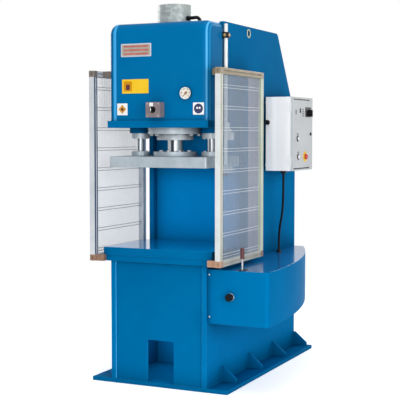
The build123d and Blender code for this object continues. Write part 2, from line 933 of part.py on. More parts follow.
# Limit switch with its roller on top, on a strip from the head plate's edge
switch_y = front + switch_setback
switch_strip_x = head_plate_x
switch_bottom = head_underside - switch_drop
switch_top = switch_bottom + switch_body_height
with BuildPart() as limit_switch:
    block(
        (side_x, side_x + switch_body_width),
        (switch_y - switch_body_depth / 2, switch_y + switch_body_depth / 2),
        (switch_bottom, switch_top),
    )
    block(
        (switch_strip_x, switch_strip_x + switch_strip_thickness),
        (switch_y - switch_strip_width / 2, switch_y + switch_strip_width / 2),
        (switch_top, head_underside + switch_strip_lap),
    )
    round_bar((stroke_x, switch_y, switch_top), (0, 0, 1), switch_stem_radius, switch_stem_height)
    round_bar(
        (stroke_x - switch_roller_width / 2, switch_y, switch_top + switch_stem_height),
        (1, 0, 0),
        switch_roller_radius,
        switch_roller_width,
    )
limit_switch.part.label = "limit_switch"
export_step(limit_switch.part, "parts/limit_switch.step")

# Gauge case, a cup with a stem through the head cover
gauge_face = front - gauge_depth
with BuildPart() as gauge_case:
    round_bar((gauge_x, front, gauge_z), (0, -1, 0), gauge_radius, gauge_depth)
    round_bar(
        (gauge_x, gauge_face, gauge_z),
        (0, 1, 0),
        gauge_radius - gauge_rim,
        gauge_recess,
        Mode.SUBTRACT,
    )
    round_bar((gauge_x, front, gauge_z), (0, 1, 0), gauge_stem_radius, gauge_stem_length)
gauge_case.part.label = "gauge_case"
export_step(gauge_case.part, "parts/gauge_case.step")

# Gauge needle, just clear of the dial, at rest at the lower left
dial_y = gauge_face + gauge_recess
needle_along = (math.cos(math.radians(needle_angle)), 0, math.sin(math.radians(needle_angle)))
needle_plane = Plane(origin=(gauge_x, dial_y - needle_gap, gauge_z), x_dir=needle_along, z_dir=(0, -1, 0))
with BuildPart() as gauge_needle:
    with BuildSketch(needle_plane):
        Circle(needle_hub_radius)
        with BuildLine():
            Polyline(
                (-needle_length / 4, needle_width / 2),
                (-needle_length / 4, -needle_width / 2),
                (needle_length, -needle_width / 6),
                (needle_length, needle_width / 6),
                close=True,
            )
        make_face()
    extrude(amount=needle_thickness)
gauge_needle.part.label = "gauge_needle"
export_step(gauge_needle.part, "parts/gauge_needle.step")

# Selector box on the front of the head cover
selector_face = front - selector_box_depth
with BuildPart() as selector_box:
    block(
        (-selector_box_width / 2, selector_box_width / 2),
        (selector_face, front),
        (selector_box_z - selector_box_height / 2, selector_box_z + selector_box_height / 2),
    )
    fillet(selector_box.edges().filter_by(Axis.Y), selector_box_corner)
selector_box.part.label = "selector_box"
export_step(selector_box.part, "parts/selector_box.step")

# Selector: a turning knob with a raised grip
knob_seat = selector_face - turning_gap
with BuildPart() as selector_knob:
    round_bar((0, knob_seat, selector_box_z), (0, -1, 0), selector_radius, selector_length)
    block(
        (-selector_grip_width / 2, selector_grip_width / 2),
        (knob_seat - selector_length - selector_grip_depth, knob_seat - selector_length),
        (selector_box_z - selector_radius, selector_box_z + selector_radius),
    )
selector_knob.part.label = "selector_knob"
export_step(selector_knob.part, "parts/selector_knob.step")

# Oil tank on the pedestal's side, under the power unit cover
tank_y = front + tank_front
with BuildPart() as oil_tank:
    block(
        (side_x, side_x + tank_width),
        (tank_y, tank_y + tank_length),
        (unit_bottom + unit_sheet, tank_top),
    )
    fillet(oil_tank.edges().filter_by(Axis.Z).group_by(Axis.X)[-1], tank_corner)
oil_tank.part.label = "oil_tank"
export_step(oil_tank.part, "parts/oil_tank.step")


def unit_plan(inset):
    """Arc of the cover's outer wall: its start, middle and end, set in from the sheet."""
    centre_x = unit_outer_x - unit_sweep_radius
    centre_y = front + unit_front + unit_shoulder
    radius = unit_sweep_radius - inset
    end_angle = math.asin((front + unit_rear - inset - centre_y) / radius)
    points = []
    for share in (0, 0.5, 1):
        angle = share * end_angle
        points.append((centre_x + radius * math.cos(angle), centre_y + radius * math.sin(angle)))
    return points


# Power unit cover: a flat front, a long swept side and a short rear wall
with BuildPart() as unit_cover:
    for inset in (0, unit_sheet):
        arc_start, arc_middle, arc_end = unit_plan(inset)
        with BuildSketch(Plane.XY.offset(unit_bottom + inset)) as unit_profile:
            with BuildLine():
                ThreePointArc(arc_start, arc_middle, arc_end)
                Polyline(
                    arc_end,
                    (side_x, front + unit_rear - inset),
                    (side_x, front + unit_front + inset),
                    (unit_outer_x - inset, front + unit_front + inset),
                    arc_start,
                )
            make_face()
            fold = unit_profile.vertices().group_by(Axis.Y)[0].sort_by(Axis.X)[-1]
            fillet(fold, unit_fold_radius - inset)
        extrude(amount=unit_height - 2 * inset, mode=Mode.SUBTRACT if inset else Mode.ADD)
    lever_slot = 2 * (lever_radius + slot_gap)
    lever_swing = lever_pivot_drop * math.tan(math.radians(lever_tilt))
    with BuildSketch(Plane.XY.offset(unit_top - 2 * unit_sheet)):
        with Locations((lever_x, front + lever_setback)):
            SlotOverall(2 * lever_swing + 2 * lever_slot, lever_slot, rotation=90)
    extrude(amount=4 * unit_sheet, mode=Mode.SUBTRACT)
    round_bar(
        (knob_x, front + unit_front - unit_sheet, knob_z),
        (0, 1, 0),
        knob_stem_radius + knob_gap,
        3 * unit_sheet,
        Mode.SUBTRACT,
    )
unit_cover.part.label = "unit_cover"
export_step(unit_cover.part, "parts/unit_cover.step")

# Valve block on the tank, with the relief valve bore and the lever's ears
valve_front = tank_y + valve_setback
valve_top = tank_top + valve_height
lever_y = front + lever_setback
lever_pivot_z = unit_top - lever_pivot_drop
ear_inner = lever_hub_width / 2 + lever_ear_gap
with BuildPart() as valve_block:
    block(
        (valve_x - valve_width / 2, valve_x + valve_width / 2),
        (valve_front, valve_front + valve_depth),
        (tank_top, valve_top),
    )
    for side in (-1, 1):
        ear_x = lever_x + side * (ear_inner + lever_ear_thickness / 2)
        block(
            (ear_x - lever_ear_thickness / 2, ear_x + lever_ear_thickness / 2),
            (lever_y - lever_hub_radius, lever_y + lever_hub_radius),
            (valve_top, lever_pivot_z + lever_hub_radius),
        )
    round_bar(
        (knob_x, valve_front, knob_z),
        (0, 1, 0),
        knob_stem_radius + running_fit,
        knob_bore_depth,
        Mode.SUBTRACT,
    )
    round_bar(
        (lever_x - ear_inner - lever_ear_thickness, lever_y, lever_pivot_z),
        (1, 0, 0),
        lever_pin_radius + running_fit,
        2 * (ear_inner + lever_ear_thickness),
        Mode.SUBTRACT,
    )
valve_block.part.label = "valve_block"
export_step(valve_block.part, "parts/valve_block.step")

# Hand lever: hub with its cross pin, shaft and grip
grip_bottom = lever_pivot_z + lever_length - lever_grip_length
with BuildPart() as hand_lever:
    round_bar(
        (lever_x - lever_hub_width / 2, lever_y, lever_pivot_z),
        (1, 0, 0),
        lever_hub_radius,
        lever_hub_width,
    )
    round_bar(
        (lever_x - ear_inner - lever_ear_thickness, lever_y, lever_pivot_z),
        (1, 0, 0),
        lever_pin_radius,
        2 * (ear_inner + lever_ear_thickness),
    )
    round_bar((lever_x, lever_y, lever_pivot_z), (0, 0, 1), lever_radius, lever_length - lever_grip_cap)
hand_lever.part.label = "hand_lever"
export_step(hand_lever.part, "parts/hand_lever.step")

# Lever grip, a moulded sleeve closed at the top
with BuildPart() as lever_grip:
    round_bar((lever_x, lever_y, grip_bottom), (0, 0, 1), lever_grip_radius, lever_grip_length)
    chamfer(lever_grip.edges().group_by(Axis.Z)[-1], lever_grip_round)
    round_bar(
        (lever_x, lever_y, grip_bottom),
        (0, 0, 1),
        lever_radius + seat_fit,
        lever_grip_length - lever_grip_cap + seat_fit,
        Mode.SUBTRACT,
    )
lever_grip.part.label = "lever_grip"
export_step(lever_grip.part, "parts/lever_grip.step")

# Pressure knob in front of the cover, on a stem into the valve block
with BuildPart() as pressure_knob:
    round_bar((knob_x, front + unit_front - knob_gap, knob_z), (0, -1, 0), knob_radius, knob_length)
    chamfer(pressure_knob.edges().sort_by(Axis.Y)[0], knob_edge)
    with BuildSketch(Plane.XZ.offset(-(front + unit_front) + knob_gap)):
        with Locations((knob_x, knob_z)):
            with PolarLocations(knob_radius + knob_scallop_offset, knob_scallops):
                Circle(knob_scallop_radius)
    extrude(amount=knob_length, mode=Mode.SUBTRACT)
    round_bar(
        (knob_x, front + unit_front - knob_gap, knob_z),
        (0, 1, 0),
        knob_stem_radius,
        valve_front + knob_stem_lap - (front + unit_front - knob_gap),
    )
pressure_knob.part.label = "pressure_knob"
export_step(pressure_knob.part, "parts/pressure_knob.step")

# Gear pump on a foot, bored for the shaft
pump_y = front + pump_front
with BuildPart() as pump:
    round_bar((pump_x, pump_y, shaft_z), (0, 1, 0), pump_radius, pump_length)
    block(
        (pump_x - pump_radius, pump_x + pump_radius),
        (pump_y + pump_foot_margin, pump_y + pump_length - pump_foot_margin),
        (tank_top, shaft_z - foot_sink),
    )
    round_bar(
        (pump_x, pump_y + pump_length / 2, shaft_z),
        (0, 1, 0),
        shaft_radius + running_fit,
        pump_length / 2,
        Mode.SUBTRACT,
    )
pump.part.label = "pump"
export_step(pump.part, "parts/pump.step")

# Motor housing on its foot, hollow round the rotor
motor_y = pump_y + pump_length + motor_gap
rotor_length = motor_length - 2 * rotor_margin
with BuildPart() as motor:
    round_bar((pump_x, motor_y, shaft_z), (0, 1, 0), motor_radius, motor_length)
    block(
        (pump_x - foot_width / 2, pump_x + foot_width / 2),
        (motor_y + rotor_margin, motor_y + motor_length - rotor_margin),
        (tank_top, tank_top + foot_height),
    )
    round_bar(
        (pump_x, motor_y + rotor_margin, shaft_z),
        (0, 1, 0),
        motor_bore_radius,
        rotor_length,
        Mode.SUBTRACT,
    )
    round_bar(
        (pump_x, motor_y, shaft_z),
        (0, 1, 0),
        shaft_radius + running_fit,
        motor_length,
        Mode.SUBTRACT,
    )
motor.part.label = "motor"
export_step(motor.part, "parts/motor.step")

# Motor shaft with its rotor and the coupling to the pump
with BuildPart() as motor_shaft:
    round_bar(
        (pump_x, pump_y + pump_length / 2 + rotor_gap, shaft_z),
        (0, 1, 0),
        shaft_radius,
        pump_length / 2 - rotor_gap + motor_gap + motor_length,
    )
    round_bar(
        (pump_x, motor_y + rotor_margin + rotor_gap, shaft_z),
        (0, 1, 0),
        rotor_radius,
        rotor_length - 2 * rotor_gap,
    )
    round_bar(
        (pump_x, motor_y - motor_gap / 2 - coupling_length / 2, shaft_z),
        (0, 1, 0),
        coupling_radius,
        coupling_length,
    )
motor_shaft.part.label = "motor_shaft"
export_step(motor_shaft.part, "parts/motor_shaft.step")

# Enclosure body: a box open to the right, on standoffs, with two cable holes
box_back = side_x + enclosure_standoff
box_mouth = box_back + enclosure_width
box_y = front + enclosure_front
box_top = enclosure_bottom + enclosure_height
power_gland_x = box_back + power_gland_offset_x
power_gland_y = box_y + power_gland_offset_y
switch_gland_x = box_back + switch_gland_offset
with BuildPart() as enclosure_body:
    block((box_back, box_mouth), (box_y, box_y + enclosure_depth), (enclosure_bottom, box_top))
    offset(amount=-enclosure_sheet, openings=enclosure_body.faces().sort_by(Axis.X)[-1])
    round_bar(
        (power_gland_x, power_gland_y, enclosure_bottom - enclosure_sheet),
        (0, 0, 1),
        power_cable_radius + hole_clearance,
        3 * enclosure_sheet,
        Mode.SUBTRACT,
    )
    round_bar(
        (switch_gland_x, box_y - enclosure_sheet, cable_entry_z),
        (0, 1, 0),
        switch_cable_radius + hole_clearance,
        3 * enclosure_sheet,
        Mode.SUBTRACT,
    )
    for standoff_y in (box_y + standoff_inset, box_y + enclosure_depth - standoff_inset):
        for standoff_z in (enclosure_bottom + standoff_inset, box_top - standoff_inset):
            round_bar((side_x, standoff_y, standoff_z), (1, 0, 0), standoff_radius, enclosure_standoff)
enclosure_body.part.label = "enclosure_body"
export_step(enclosure_body.part, "parts/enclosure_body.step")

# Mounting panel in the enclosure, with a row of contactors
panel_x = box_back + enclosure_sheet
contactor_pitch = (enclosure_depth - 2 * panel_margin) / contactor_count
with BuildPart() as contactor_panel:
    block(
        (panel_x, panel_x + panel_thickness),
        (box_y + panel_margin / 2, box_y + enclosure_depth - panel_margin / 2),
        (enclosure_bottom + panel_margin, box_top - panel_margin),
    )
    for index in range(contactor_count):
        contactor_y = box_y + panel_margin + (index + 0.5) * contactor_pitch
        for row_share in contactor_rows:
            contactor_z = enclosure_bottom + row_share * enclosure_height
            block(
                (panel_x + panel_thickness, panel_x + panel_thickness + contactor_depth),
                (contactor_y - contactor_width / 2, contactor_y + contactor_width / 2),
                (contactor_z - contactor_height / 2, contactor_z + contactor_height / 2),
            )
contactor_panel.part.label = "contactor_panel"
export_step(contactor_panel.part, "parts/contactor_panel.step")

# Enclosure door: a shallow tray with a return edge all round
door_x = box_mouth + door_gap
door_face = door_x + door_depth
controls = [
    (start_button_y, start_button_z, button_radius),
    (reset_button_y, reset_button_z, button_radius),
    (stop_button_y, stop_button_z, stop_button_stem),
    (main_switch_y, main_switch_z, stop_button_stem),
    (latch_y, latch_z, stop_button_stem / 2),
]
with BuildPart() as enclosure_door:
    block((door_x, door_face), (box_y, box_y + enclosure_depth), (enclosure_bottom, box_top))
    fillet(enclosure_door.edges().filter_by(Axis.X), door_corner)
    offset(amount=-enclosure_sheet, openings=enclosure_door.faces().sort_by(Axis.X)[0])
    for control_y, control_z, control_radius in controls:
        round_bar(
            (door_x, box_y + control_y, enclosure_bottom + control_z),
            (1, 0, 0),
            control_radius + hole_clearance,
            door_depth + 1,
            Mode.SUBTRACT,
        )
enclosure_door.part.label = "enclosure_door"
export_step(enclosure_door.part, "parts/enclosure_door.step")

# Door hinges: leaves on the body with a knuckle in front of it
hinge_y = box_y - hinge_pin_radius - door_gap
hinge_x = door_x
with BuildPart() as door_hinges:
    for hinge_z in (enclosure_bottom + hinge_inset, box_top - hinge_inset):
        round_bar(
            (hinge_x, hinge_y, hinge_z - hinge_length / 2),
            (0, 0, 1),
            hinge_pin_radius,
            hinge_length,
        )
        block(
            (hinge_x - hinge_leaf, hinge_x - hinge_pin_radius / 2),
            (box_y - enclosure_sheet, box_y),
            (hinge_z - hinge_length / 2, hinge_z + hinge_length / 2),
        )
door_hinges.part.label = "door_hinges"
export_step(door_hinges.part, "parts/door_hinges.step")

# Start and reset buttons: plungers through the door
button_back = door_face - door_depth + button_stroke + button_margin
for button_name, button_y, button_z in (
    ("start_button", start_button_y, start_button_z),
    ("reset_button", reset_button_y, reset_button_z),
):
    with BuildPart() as push_button:
        round_bar(
            (button_back, box_y + button_y, enclosure_bottom + button_z),
            (1, 0, 0),
            button_radius,
            door_face + button_bezel_height + button_height - button_back,
        )
        chamfer(push_button.edges().sort_by(Axis.X)[-1], button_edge)
    push_button.part.label = button_name
    export_step(push_button.part, f"parts/{button_name}.step")

# Stop button: a mushroom head on a stem
with BuildPart() as stop_button:
    round_bar(
        (button_back, box_y + stop_button_y, enclosure_bottom + stop_button_z),
        (1, 0, 0),
        stop_button_stem,
        door_face + stop_button_gap - button_back,
    )
    round_bar(
        (door_face + stop_button_gap, box_y + stop_button_y, enclosure_bottom + stop_button_z),
        (1, 0, 0),
        stop_button_radius,
        stop_button_height,
    )
    chamfer(stop_button.edges().group_by(Axis.X)[-1], stop_button_edge)
stop_button.part.label = "stop_button"
export_step(stop_button.part, "parts/stop_button.step")

# Main switch: a rotary handle with a grip bar
handle_x = door_face + turning_gap
grip_x = handle_x + main_switch_base
with BuildPart() as main_switch:
    round_bar(
        (handle_x, box_y + main_switch_y, enclosure_bottom + main_switch_z),
        (1, 0, 0),
        main_switch_radius,
        main_switch_base,
    )
    block(
        (grip_x, grip_x + main_switch_grip),
        (
            box_y + main_switch_y - main_switch_grip_width / 2,
            box_y + main_switch_y + main_switch_grip_width / 2,
        ),
        (
            enclosure_bottom + main_switch_z - main_switch_radius - main_switch_overhang,
            enclosure_bottom + main_switch_z + main_switch_radius - main_switch_overhang,
        ),
    )
    round_bar(
        (button_back, box_y + main_switch_y, enclosure_bottom + main_switch_z),
        (1, 0, 0),
        stop_button_stem / 2,
        handle_x - button_back,
    )
main_switch.part.label = "main_switch"
export_step(main_switch.part, "parts/main_switch.step")

# Door latch: a slotted quarter-turn lock with its cam inside the door
with BuildPart() as door_latch:
    round_bar(
        (handle_x, box_y + latch_y, enclosure_bottom + latch_z),
        (1, 0, 0),
        latch_radius,
        latch_height,
    )
    block(
        (handle_x + latch_height - latch_slot_depth, handle_x + latch_height),
        (box_y + latch_y - latch_slot_width / 2, box_y + latch_y + latch_slot_width / 2),
        (enclosure_bottom + latch_z - latch_radius, enclosure_bottom + latch_z + latch_radius),
        Mode.SUBTRACT,
    )
    round_bar(
        (handle_x - latch_tail, box_y + latch_y, enclosure_bottom + latch_z),
        (1, 0, 0),
        stop_button_stem / 2,
        latch_tail,
    )
door_latch.part.label = "door_latch"
export_step(door_latch.part, "parts/door_latch.step")

# Cable glands: under the enclosure, on its front, on the unit cover and at the frame
power_foot = (side_x + power_foot_offset, front + enclosure_front + power_foot_lag, unit_top)
with BuildPart() as cable_glands:
    round_bar((power_gland_x, power_gland_y, enclosure_bottom), (0, 0, -1), gland_radius, gland_length)
    round_bar((switch_gland_x, box_y, cable_entry_z), (0, -1, 0), gland_radius, gland_length)
    round_bar(power_foot, (0, 0, 1), gland_radius, gland_length)
    round_bar(
        (power_gland_x, power_gland_y, enclosure_bottom),
        (0, 0, -1),
        power_cable_radius + seat_fit,
        gland_length,
        Mode.SUBTRACT,
    )
    round_bar(
        (switch_gland_x, box_y, cable_entry_z),
        (0, -1, 0),
        switch_cable_radius + seat_fit,
        gland_length,
        Mode.SUBTRACT,
    )
    round_bar(power_foot, (0, 0, 1), power_cable_radius + seat_fit, gland_length, Mode.SUBTRACT)
cable_glands.part.label = "cable_glands"
export_step(cable_glands.part, "parts/cable_glands.step")


def arc_radii(points):
    """Largest tangent arc at each inner corner that its two runs allow."""
    radii = []
    for before, corner, after in zip(points, points[1:], points[2:]):
        run_in = Vector(*corner) - Vector(*before)
        run_out = Vector(*after) - Vector(*corner)
        half_turn = math.radians(run_in.get_angle(run_out)) / 2
        radii.append(0.45 * min(run_in.length, run_out.length) / math.tan(half_turn))
    return radii


# Cables held at both ends: enclosure to power unit, and enclosure to side plate
power_route = [(power_gland_x, power_gland_y, enclosure_bottom + cable_lap)]
for shift_x, shift_y, drop in power_cable_drops:
    power_route.append((power_gland_x + shift_x, power_gland_y + shift_y, enclosure_bottom - drop))
for shift_x, shift_y, rise in power_cable_rises:
    power_route.append((power_foot[0] + shift_x, power_foot[1] + shift_y, unit_top + rise))
power_route.append(power_foot)
switch_route = [
    (switch_gland_x, box_y + cable_lap, cable_entry_z),
    (switch_gland_x, cable_entry_y, cable_entry_z),
    (inner_x, cable_entry_y, cable_entry_z),
]
with BuildPart() as cables:
    for route, start_direction, radius in (
        (power_route, (0, 0, -1), power_cable_radius),
        (switch_route, (0, -1, 0), switch_cable_radius),
    ):
        with BuildLine():
            FilletPolyline(*route, radius=arc_radii(route))
        with BuildSketch(Plane(origin=route[0], z_dir=start_direction)):
            Circle(radius)
        sweep()
cables.part.label = "cables"
export_step(cables.part, "parts/cables.step")

# Hose fitting on the side of the barrel, a hexagon on a round boss
fitting_z = barrel_top - hose_fitting_drop


def on_hose(distance, z):
    """Point at a distance from the cylinder's axis, out along the fitting."""
    return (hose_out[0] * distance, axis_y + hose_out[1] * distance, z)


with BuildPart() as hose_fitting:
    with BuildSketch(Plane(origin=on_hose(barrel_radius - hose_fitting_root, fitting_z), z_dir=hose_out)):
        Circle(hose_radius)
    extrude(amount=hose_fitting_length + hose_fitting_root)
    with BuildSketch(Plane(origin=on_hose(barrel_radius + hose_nut_start, fitting_z), z_dir=hose_out)):
        RegularPolygon(hose_fitting_radius, 6)
    extrude(amount=hose_nut_length)
    round_bar(
        (0, axis_y, fitting_z - hose_fitting_drop),
        (0, 0, 1),
        barrel_radius,
        2 * hose_fitting_drop,
        Mode.SUBTRACT,
    )
hose_fitting.part.label = "hose_fitting"
export_step(hose_fitting.part, "parts/hose_fitting.step")

# Pressure hose, from the fitting round and down to the head plate
hose_route = [
    on_hose(barrel_radius + hose_fitting_length, fitting_z),
    on_hose(hose_reach, fitting_z),
    on_hose(hose_reach, head_seat),
]
with BuildPart() as pressure_hose:
    with BuildLine():
        FilletPolyline(*hose_route, radius=arc_radii(hose_route))
    with BuildSketch(Plane(origin=hose_route[0], z_dir=hose_out)):
        Circle(hose_radius)
    sweep()
pressure_hose.part.label = "pressure_hose"
export_step(pressure_hose.part, "parts/pressure_hose.step")

# Guard frames: four profiles round each clear sheet
guard_inner = side_x + guard_offset
guard_outer = guard_inner + guard_profile
guard_front_y = front + guard_front
guard_rear_y = throat_y + guard_rear_lap
post_span = (guard_bottom + guard_profile, guard_top - guard_profile)
rail_span = (guard_front_y + guard_profile, guard_rear_y - guard_profile)
rail_rebated = (rail_span[0] - guard_rebate, rail_span[1] + guard_rebate)
post_rebated = (post_span[0] - guard_rebate, post_span[1] + guard_rebate)
panel_low = guard_inner + (guard_profile - guard_panel_thickness) / 2


def guard_x(side, low, high):
    """X limits of a guard piece on the left (-1) or the right (+1)."""
    return tuple(sorted((side * low, side * high)))


with BuildPart() as guard_profiles:
    for side in (-1, 1):
        across = guard_x(side, guard_inner, guard_outer)
        block(across, (guard_front_y, guard_front_y + guard_profile), post_span)
        block(across, (guard_rear_y - guard_profile, guard_rear_y), post_span)
        block(across, rail_span, (guard_bottom, guard_bottom + guard_profile))
        block(across, rail_span, (guard_top - guard_profile, guard_top))
    for side in (-1, 1):
        groove_x = guard_x(side, panel_low, panel_low + guard_panel_thickness)
        block(groove_x, rail_rebated, post_span, Mode.SUBTRACT)
        block(groove_x, rail_span, post_rebated, Mode.SUBTRACT)
guard_profiles.part.label = "guard_profiles"
export_step(guard_profiles.part, "parts/guard_profiles.step")

# Guard sheets, seated in the profiles' grooves
with BuildPart() as guard_panels:
    for side in (-1, 1):
        sheet_x = guard_x(side, panel_low + seat_fit, panel_low + guard_panel_thickness - seat_fit)
        block(sheet_x, rail_rebated, post_span)
        block(sheet_x, rail_span, post_rebated)
guard_panels.part.label = "guard_panels"
export_step(guard_panels.part, "parts/guard_panels.step")

# Guard corner blocks, with legs to the table, and arms to the head and column
with BuildPart() as guard_corners:
    for side in (-1, 1):
        across = guard_x(side, guard_inner, guard_outer)
        for corner_z in (guard_bottom, guard_top - guard_profile):
            corner_span = (corner_z, corner_z + guard_profile)
            block(across, (guard_front_y, guard_front_y + guard_profile), corner_span)
            block(
                guard_x(side, side_x, guard_outer),
                (guard_rear_y - guard_profile, guard_rear_y),
                corner_span,
            )
        block(
            guard_x(side, sub_width / 2 - guard_leg_lap, guard_inner),
            (front - sub_overhang - guard_profile, front - sub_overhang),
            (guard_bottom, guard_bottom + guard_profile),
        )
        block(
            guard_x(side, head_plate_x, guard_inner),
            (front + guard_arm_start, front + guard_arm_start + guard_arm_width),
            (guard_top - guard_profile, guard_top),
        )
guard_corners.part.label = "guard_corners"
export_step(guard_corners.part, "parts/guard_corners.step")
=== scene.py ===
import math
import random

import bmesh
import bpy
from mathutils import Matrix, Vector


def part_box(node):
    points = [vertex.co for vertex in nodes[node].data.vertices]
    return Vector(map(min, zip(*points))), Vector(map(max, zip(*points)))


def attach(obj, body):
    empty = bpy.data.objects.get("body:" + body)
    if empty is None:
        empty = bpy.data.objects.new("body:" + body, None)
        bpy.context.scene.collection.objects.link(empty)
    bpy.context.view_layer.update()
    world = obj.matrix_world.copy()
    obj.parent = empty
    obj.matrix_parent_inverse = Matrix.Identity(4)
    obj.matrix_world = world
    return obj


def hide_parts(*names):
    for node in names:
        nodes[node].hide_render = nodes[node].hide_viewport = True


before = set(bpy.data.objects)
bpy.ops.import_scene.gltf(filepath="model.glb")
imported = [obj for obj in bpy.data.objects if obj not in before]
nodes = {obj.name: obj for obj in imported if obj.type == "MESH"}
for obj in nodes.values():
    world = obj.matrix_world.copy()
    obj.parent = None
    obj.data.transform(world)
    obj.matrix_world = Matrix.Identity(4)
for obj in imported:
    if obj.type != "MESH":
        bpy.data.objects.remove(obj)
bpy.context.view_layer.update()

scene = bpy.context.scene
scene.view_settings.view_transform = "Standard"
rng = random.Random(7)
X, Y, Z = Vector((1, 0, 0)), Vector((0, 1, 0)), Vector((0, 0, 1))
SIDES = (-1, 1)

# Places on the press, in metres. The operator stands at -Y, and the power unit is at +X.
side_low, side_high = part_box("left_side_plate")
FRONT, REAR = side_low.y, side_high.y
SIDE = -side_low.x
FLOOR = side_low.z
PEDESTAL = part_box("pedestal_front_plate")[1].z
DOOR_LOW, DOOR_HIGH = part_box("enclosure_door")
BOX_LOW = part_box("enclosure_body")[0]
UNIT_LOW, UNIT_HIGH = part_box("unit_cover")
AXIS_Y = -0.549
GUIDE_X = 0.262

# ---- Finishes ----
# Ranges over which a noise, or an edge's turn, takes a finish from one colour to the next; along an edge the
# lighter colour is a painted highlight
BLOTCH_RANGE = (0.35, 0.65)
SPECKLE_RANGE = (0.48, 0.62)
EDGE_HIGHLIGHT_RANGE = (0.995, 0.80)
EDGE_HIGHLIGHT_MOST = 0.75
SMOOTHEST = 0.02
RELIEF_DEPTH = 0.001
# Sockets of a colour mix
MIX_FIRST, MIX_SECOND, MIX_RESULT = 6, 7, 2


def linear(code):
    """Linear colour from a six-digit display colour."""
    values = [int(code[i:i + 2], 16) / 255 for i in (0, 2, 4)]
    return tuple(v / 12.92 if v <= 0.04045 else ((v + 0.055) / 1.055) ** 2.4 for v in values) + (1.0,)


def plug(tree, socket, source):
    """Gives a socket a plain value, another socket or a node's first output."""
    if isinstance(source, bpy.types.Node):
        source = source.outputs[0]
    if isinstance(source, bpy.types.NodeSocket):
        tree.links.new(source, socket)
    else:
        socket.default_value = source


def add(tree, kind, *sources, **values):
    """New node: sources go to its first sockets, values to the sockets or settings of their name."""
    made = tree.nodes.new(kind)
    for socket, source in zip(made.inputs, sources):
        plug(tree, socket, source)
    for key, value in values.items():
        if key in made.inputs:
            plug(tree, made.inputs[key], value)
        else:
            setattr(made, key, value)
    return made


def mix(tree, factor, first, second, way="MIX"):
    """Colour between two others."""
    made = add(tree, "ShaderNodeMix", data_type="RGBA", blend_type=way, Factor=factor)
    plug(tree, made.inputs[MIX_FIRST], first)
    plug(tree, made.inputs[MIX_SECOND], second)
    return made.outputs[MIX_RESULT]


def spread(tree, value, start, end, to_start=0.0, to_end=1.0, **settings):
    """Value moved from one range to another."""
    ranges = {"From Min": start, "From Max": end, "To Min": to_start, "To Max": to_end}
    return add(tree, "ShaderNodeMapRange", value, **ranges, **settings)


def along(tree, first, second):
    """How far one vector goes along another."""
    return add(tree, "ShaderNodeVectorMath", first, second, operation="DOT_PRODUCT").outputs["Value"]


def ramp(tree, value, stops):
    """Colour ramp from (position, colour) pairs."""
    made = add(tree, "ShaderNodeValToRGB", value)
    elements = made.color_ramp.elements
    while len(elements) < len(stops):
        elements.new(0.5)
    for element, (position, _) in zip(elements, stops):
        element.position = position
    for element, (_, colour) in zip(elements, stops):
        element.color = colour
    return made


def shader(name, base, second, blotch, metallic=0.0, rough=0.4, rough_span=0.12, grain=350.0, bump=0.08,
           stretch=(1, 1, 1), coat=0.0, edge=None, edge_radius=0.003, speckle=None, alpha=1.0,
           specular=0.5, painted_light_bands=None, across=(1, 0, 0), painted_light_by_place=False, shade=0.0, shade_reach=0.12):
    """Principled material with blotches, speckles, painted edge highlights, painted light bands, painted corner
    shade and a grain.

    A painted light band is (position from -1 to 1, colour, strength): a painted highlight or reflection. The bands
    follow the surface's facing along across, or its place where painted_light_by_place is set. A speckle is
    (colour, noise scale).
    """
    made = bpy.data.materials.new(name)
    made.use_nodes = True
    tree = made.node_tree
    place = add(tree, "ShaderNodeTexCoord").outputs["Object"]
    stretched = add(tree, "ShaderNodeMapping", place, Scale=stretch)
    cloud = add(tree, "ShaderNodeTexNoise", place, Scale=blotch, Detail=5.0, Roughness=0.6)
    colour = ramp(tree, cloud, list(zip(BLOTCH_RANGE, (linear(base), linear(second)))))
    if speckle:
        code, size = speckle
        spots = add(tree, "ShaderNodeTexNoise", stretched, Scale=size, Detail=8.0, Roughness=0.75)
        colour = mix(tree, spread(tree, spots, *SPECKLE_RANGE), colour, linear(code))
    fine = add(tree, "ShaderNodeTexNoise", stretched, Scale=grain, Detail=3.0)
    relief = add(tree, "ShaderNodeBump", Strength=bump, Distance=RELIEF_DEPTH, Height=fine)
    # Painted highlight: sharp edges take the lighter edge colour where the bevelled normal turns away
    if edge:
        bevel = add(tree, "ShaderNodeBevel", samples=4, Radius=edge_radius)
        turn = along(tree, bevel, add(tree, "ShaderNodeNewGeometry").outputs["Normal"])
        colour = mix(tree, spread(tree, turn, *EDGE_HIGHLIGHT_RANGE, to_end=EDGE_HIGHLIGHT_MOST), colour, linear(edge))
        plug(tree, relief.inputs["Normal"], bevel)
    # Painted highlights and reflections: bands of colour by the surface's facing or place
    if painted_light_bands:
        facing = add(tree, "ShaderNodeNewGeometry").outputs["Normal"]
        reach = spread(tree, along(tree, place if painted_light_by_place else facing, across), -1.0, 1.0)
        bands = ramp(tree, reach, [((position + 1) / 2, linear(code)[:3] + (strength,))
                                   for position, code, strength in painted_light_bands])
        colour = mix(tree, bands.outputs["Alpha"], colour, bands)
    if shade:
        corners = add(tree, "ShaderNodeAmbientOcclusion", samples=6, Distance=shade_reach)
        colour = mix(tree, shade, colour, corners, "MULTIPLY")
    roughness = spread(tree, fine, 0.0, 1.0, max(SMOOTHEST, rough - rough_span / 2), rough + rough_span / 2)
    sockets = {"Base Color": colour, "Metallic": metallic, "Roughness": roughness, "Alpha": alpha,
               "Normal": relief, "Specular IOR Level": specular, "Coat Weight": coat}
    for key, source in sockets.items():
        plug(tree, tree.nodes["Principled BSDF"].inputs[key], source)
    return made


# How a ground, brushed or turned surface's grain is drawn out
ALONG_X, ALONG_Y, ALONG_Z = (1, 14, 14), (14, 1, 14), (18, 18, 1)
ROUND_Z = (1, 1, 20)
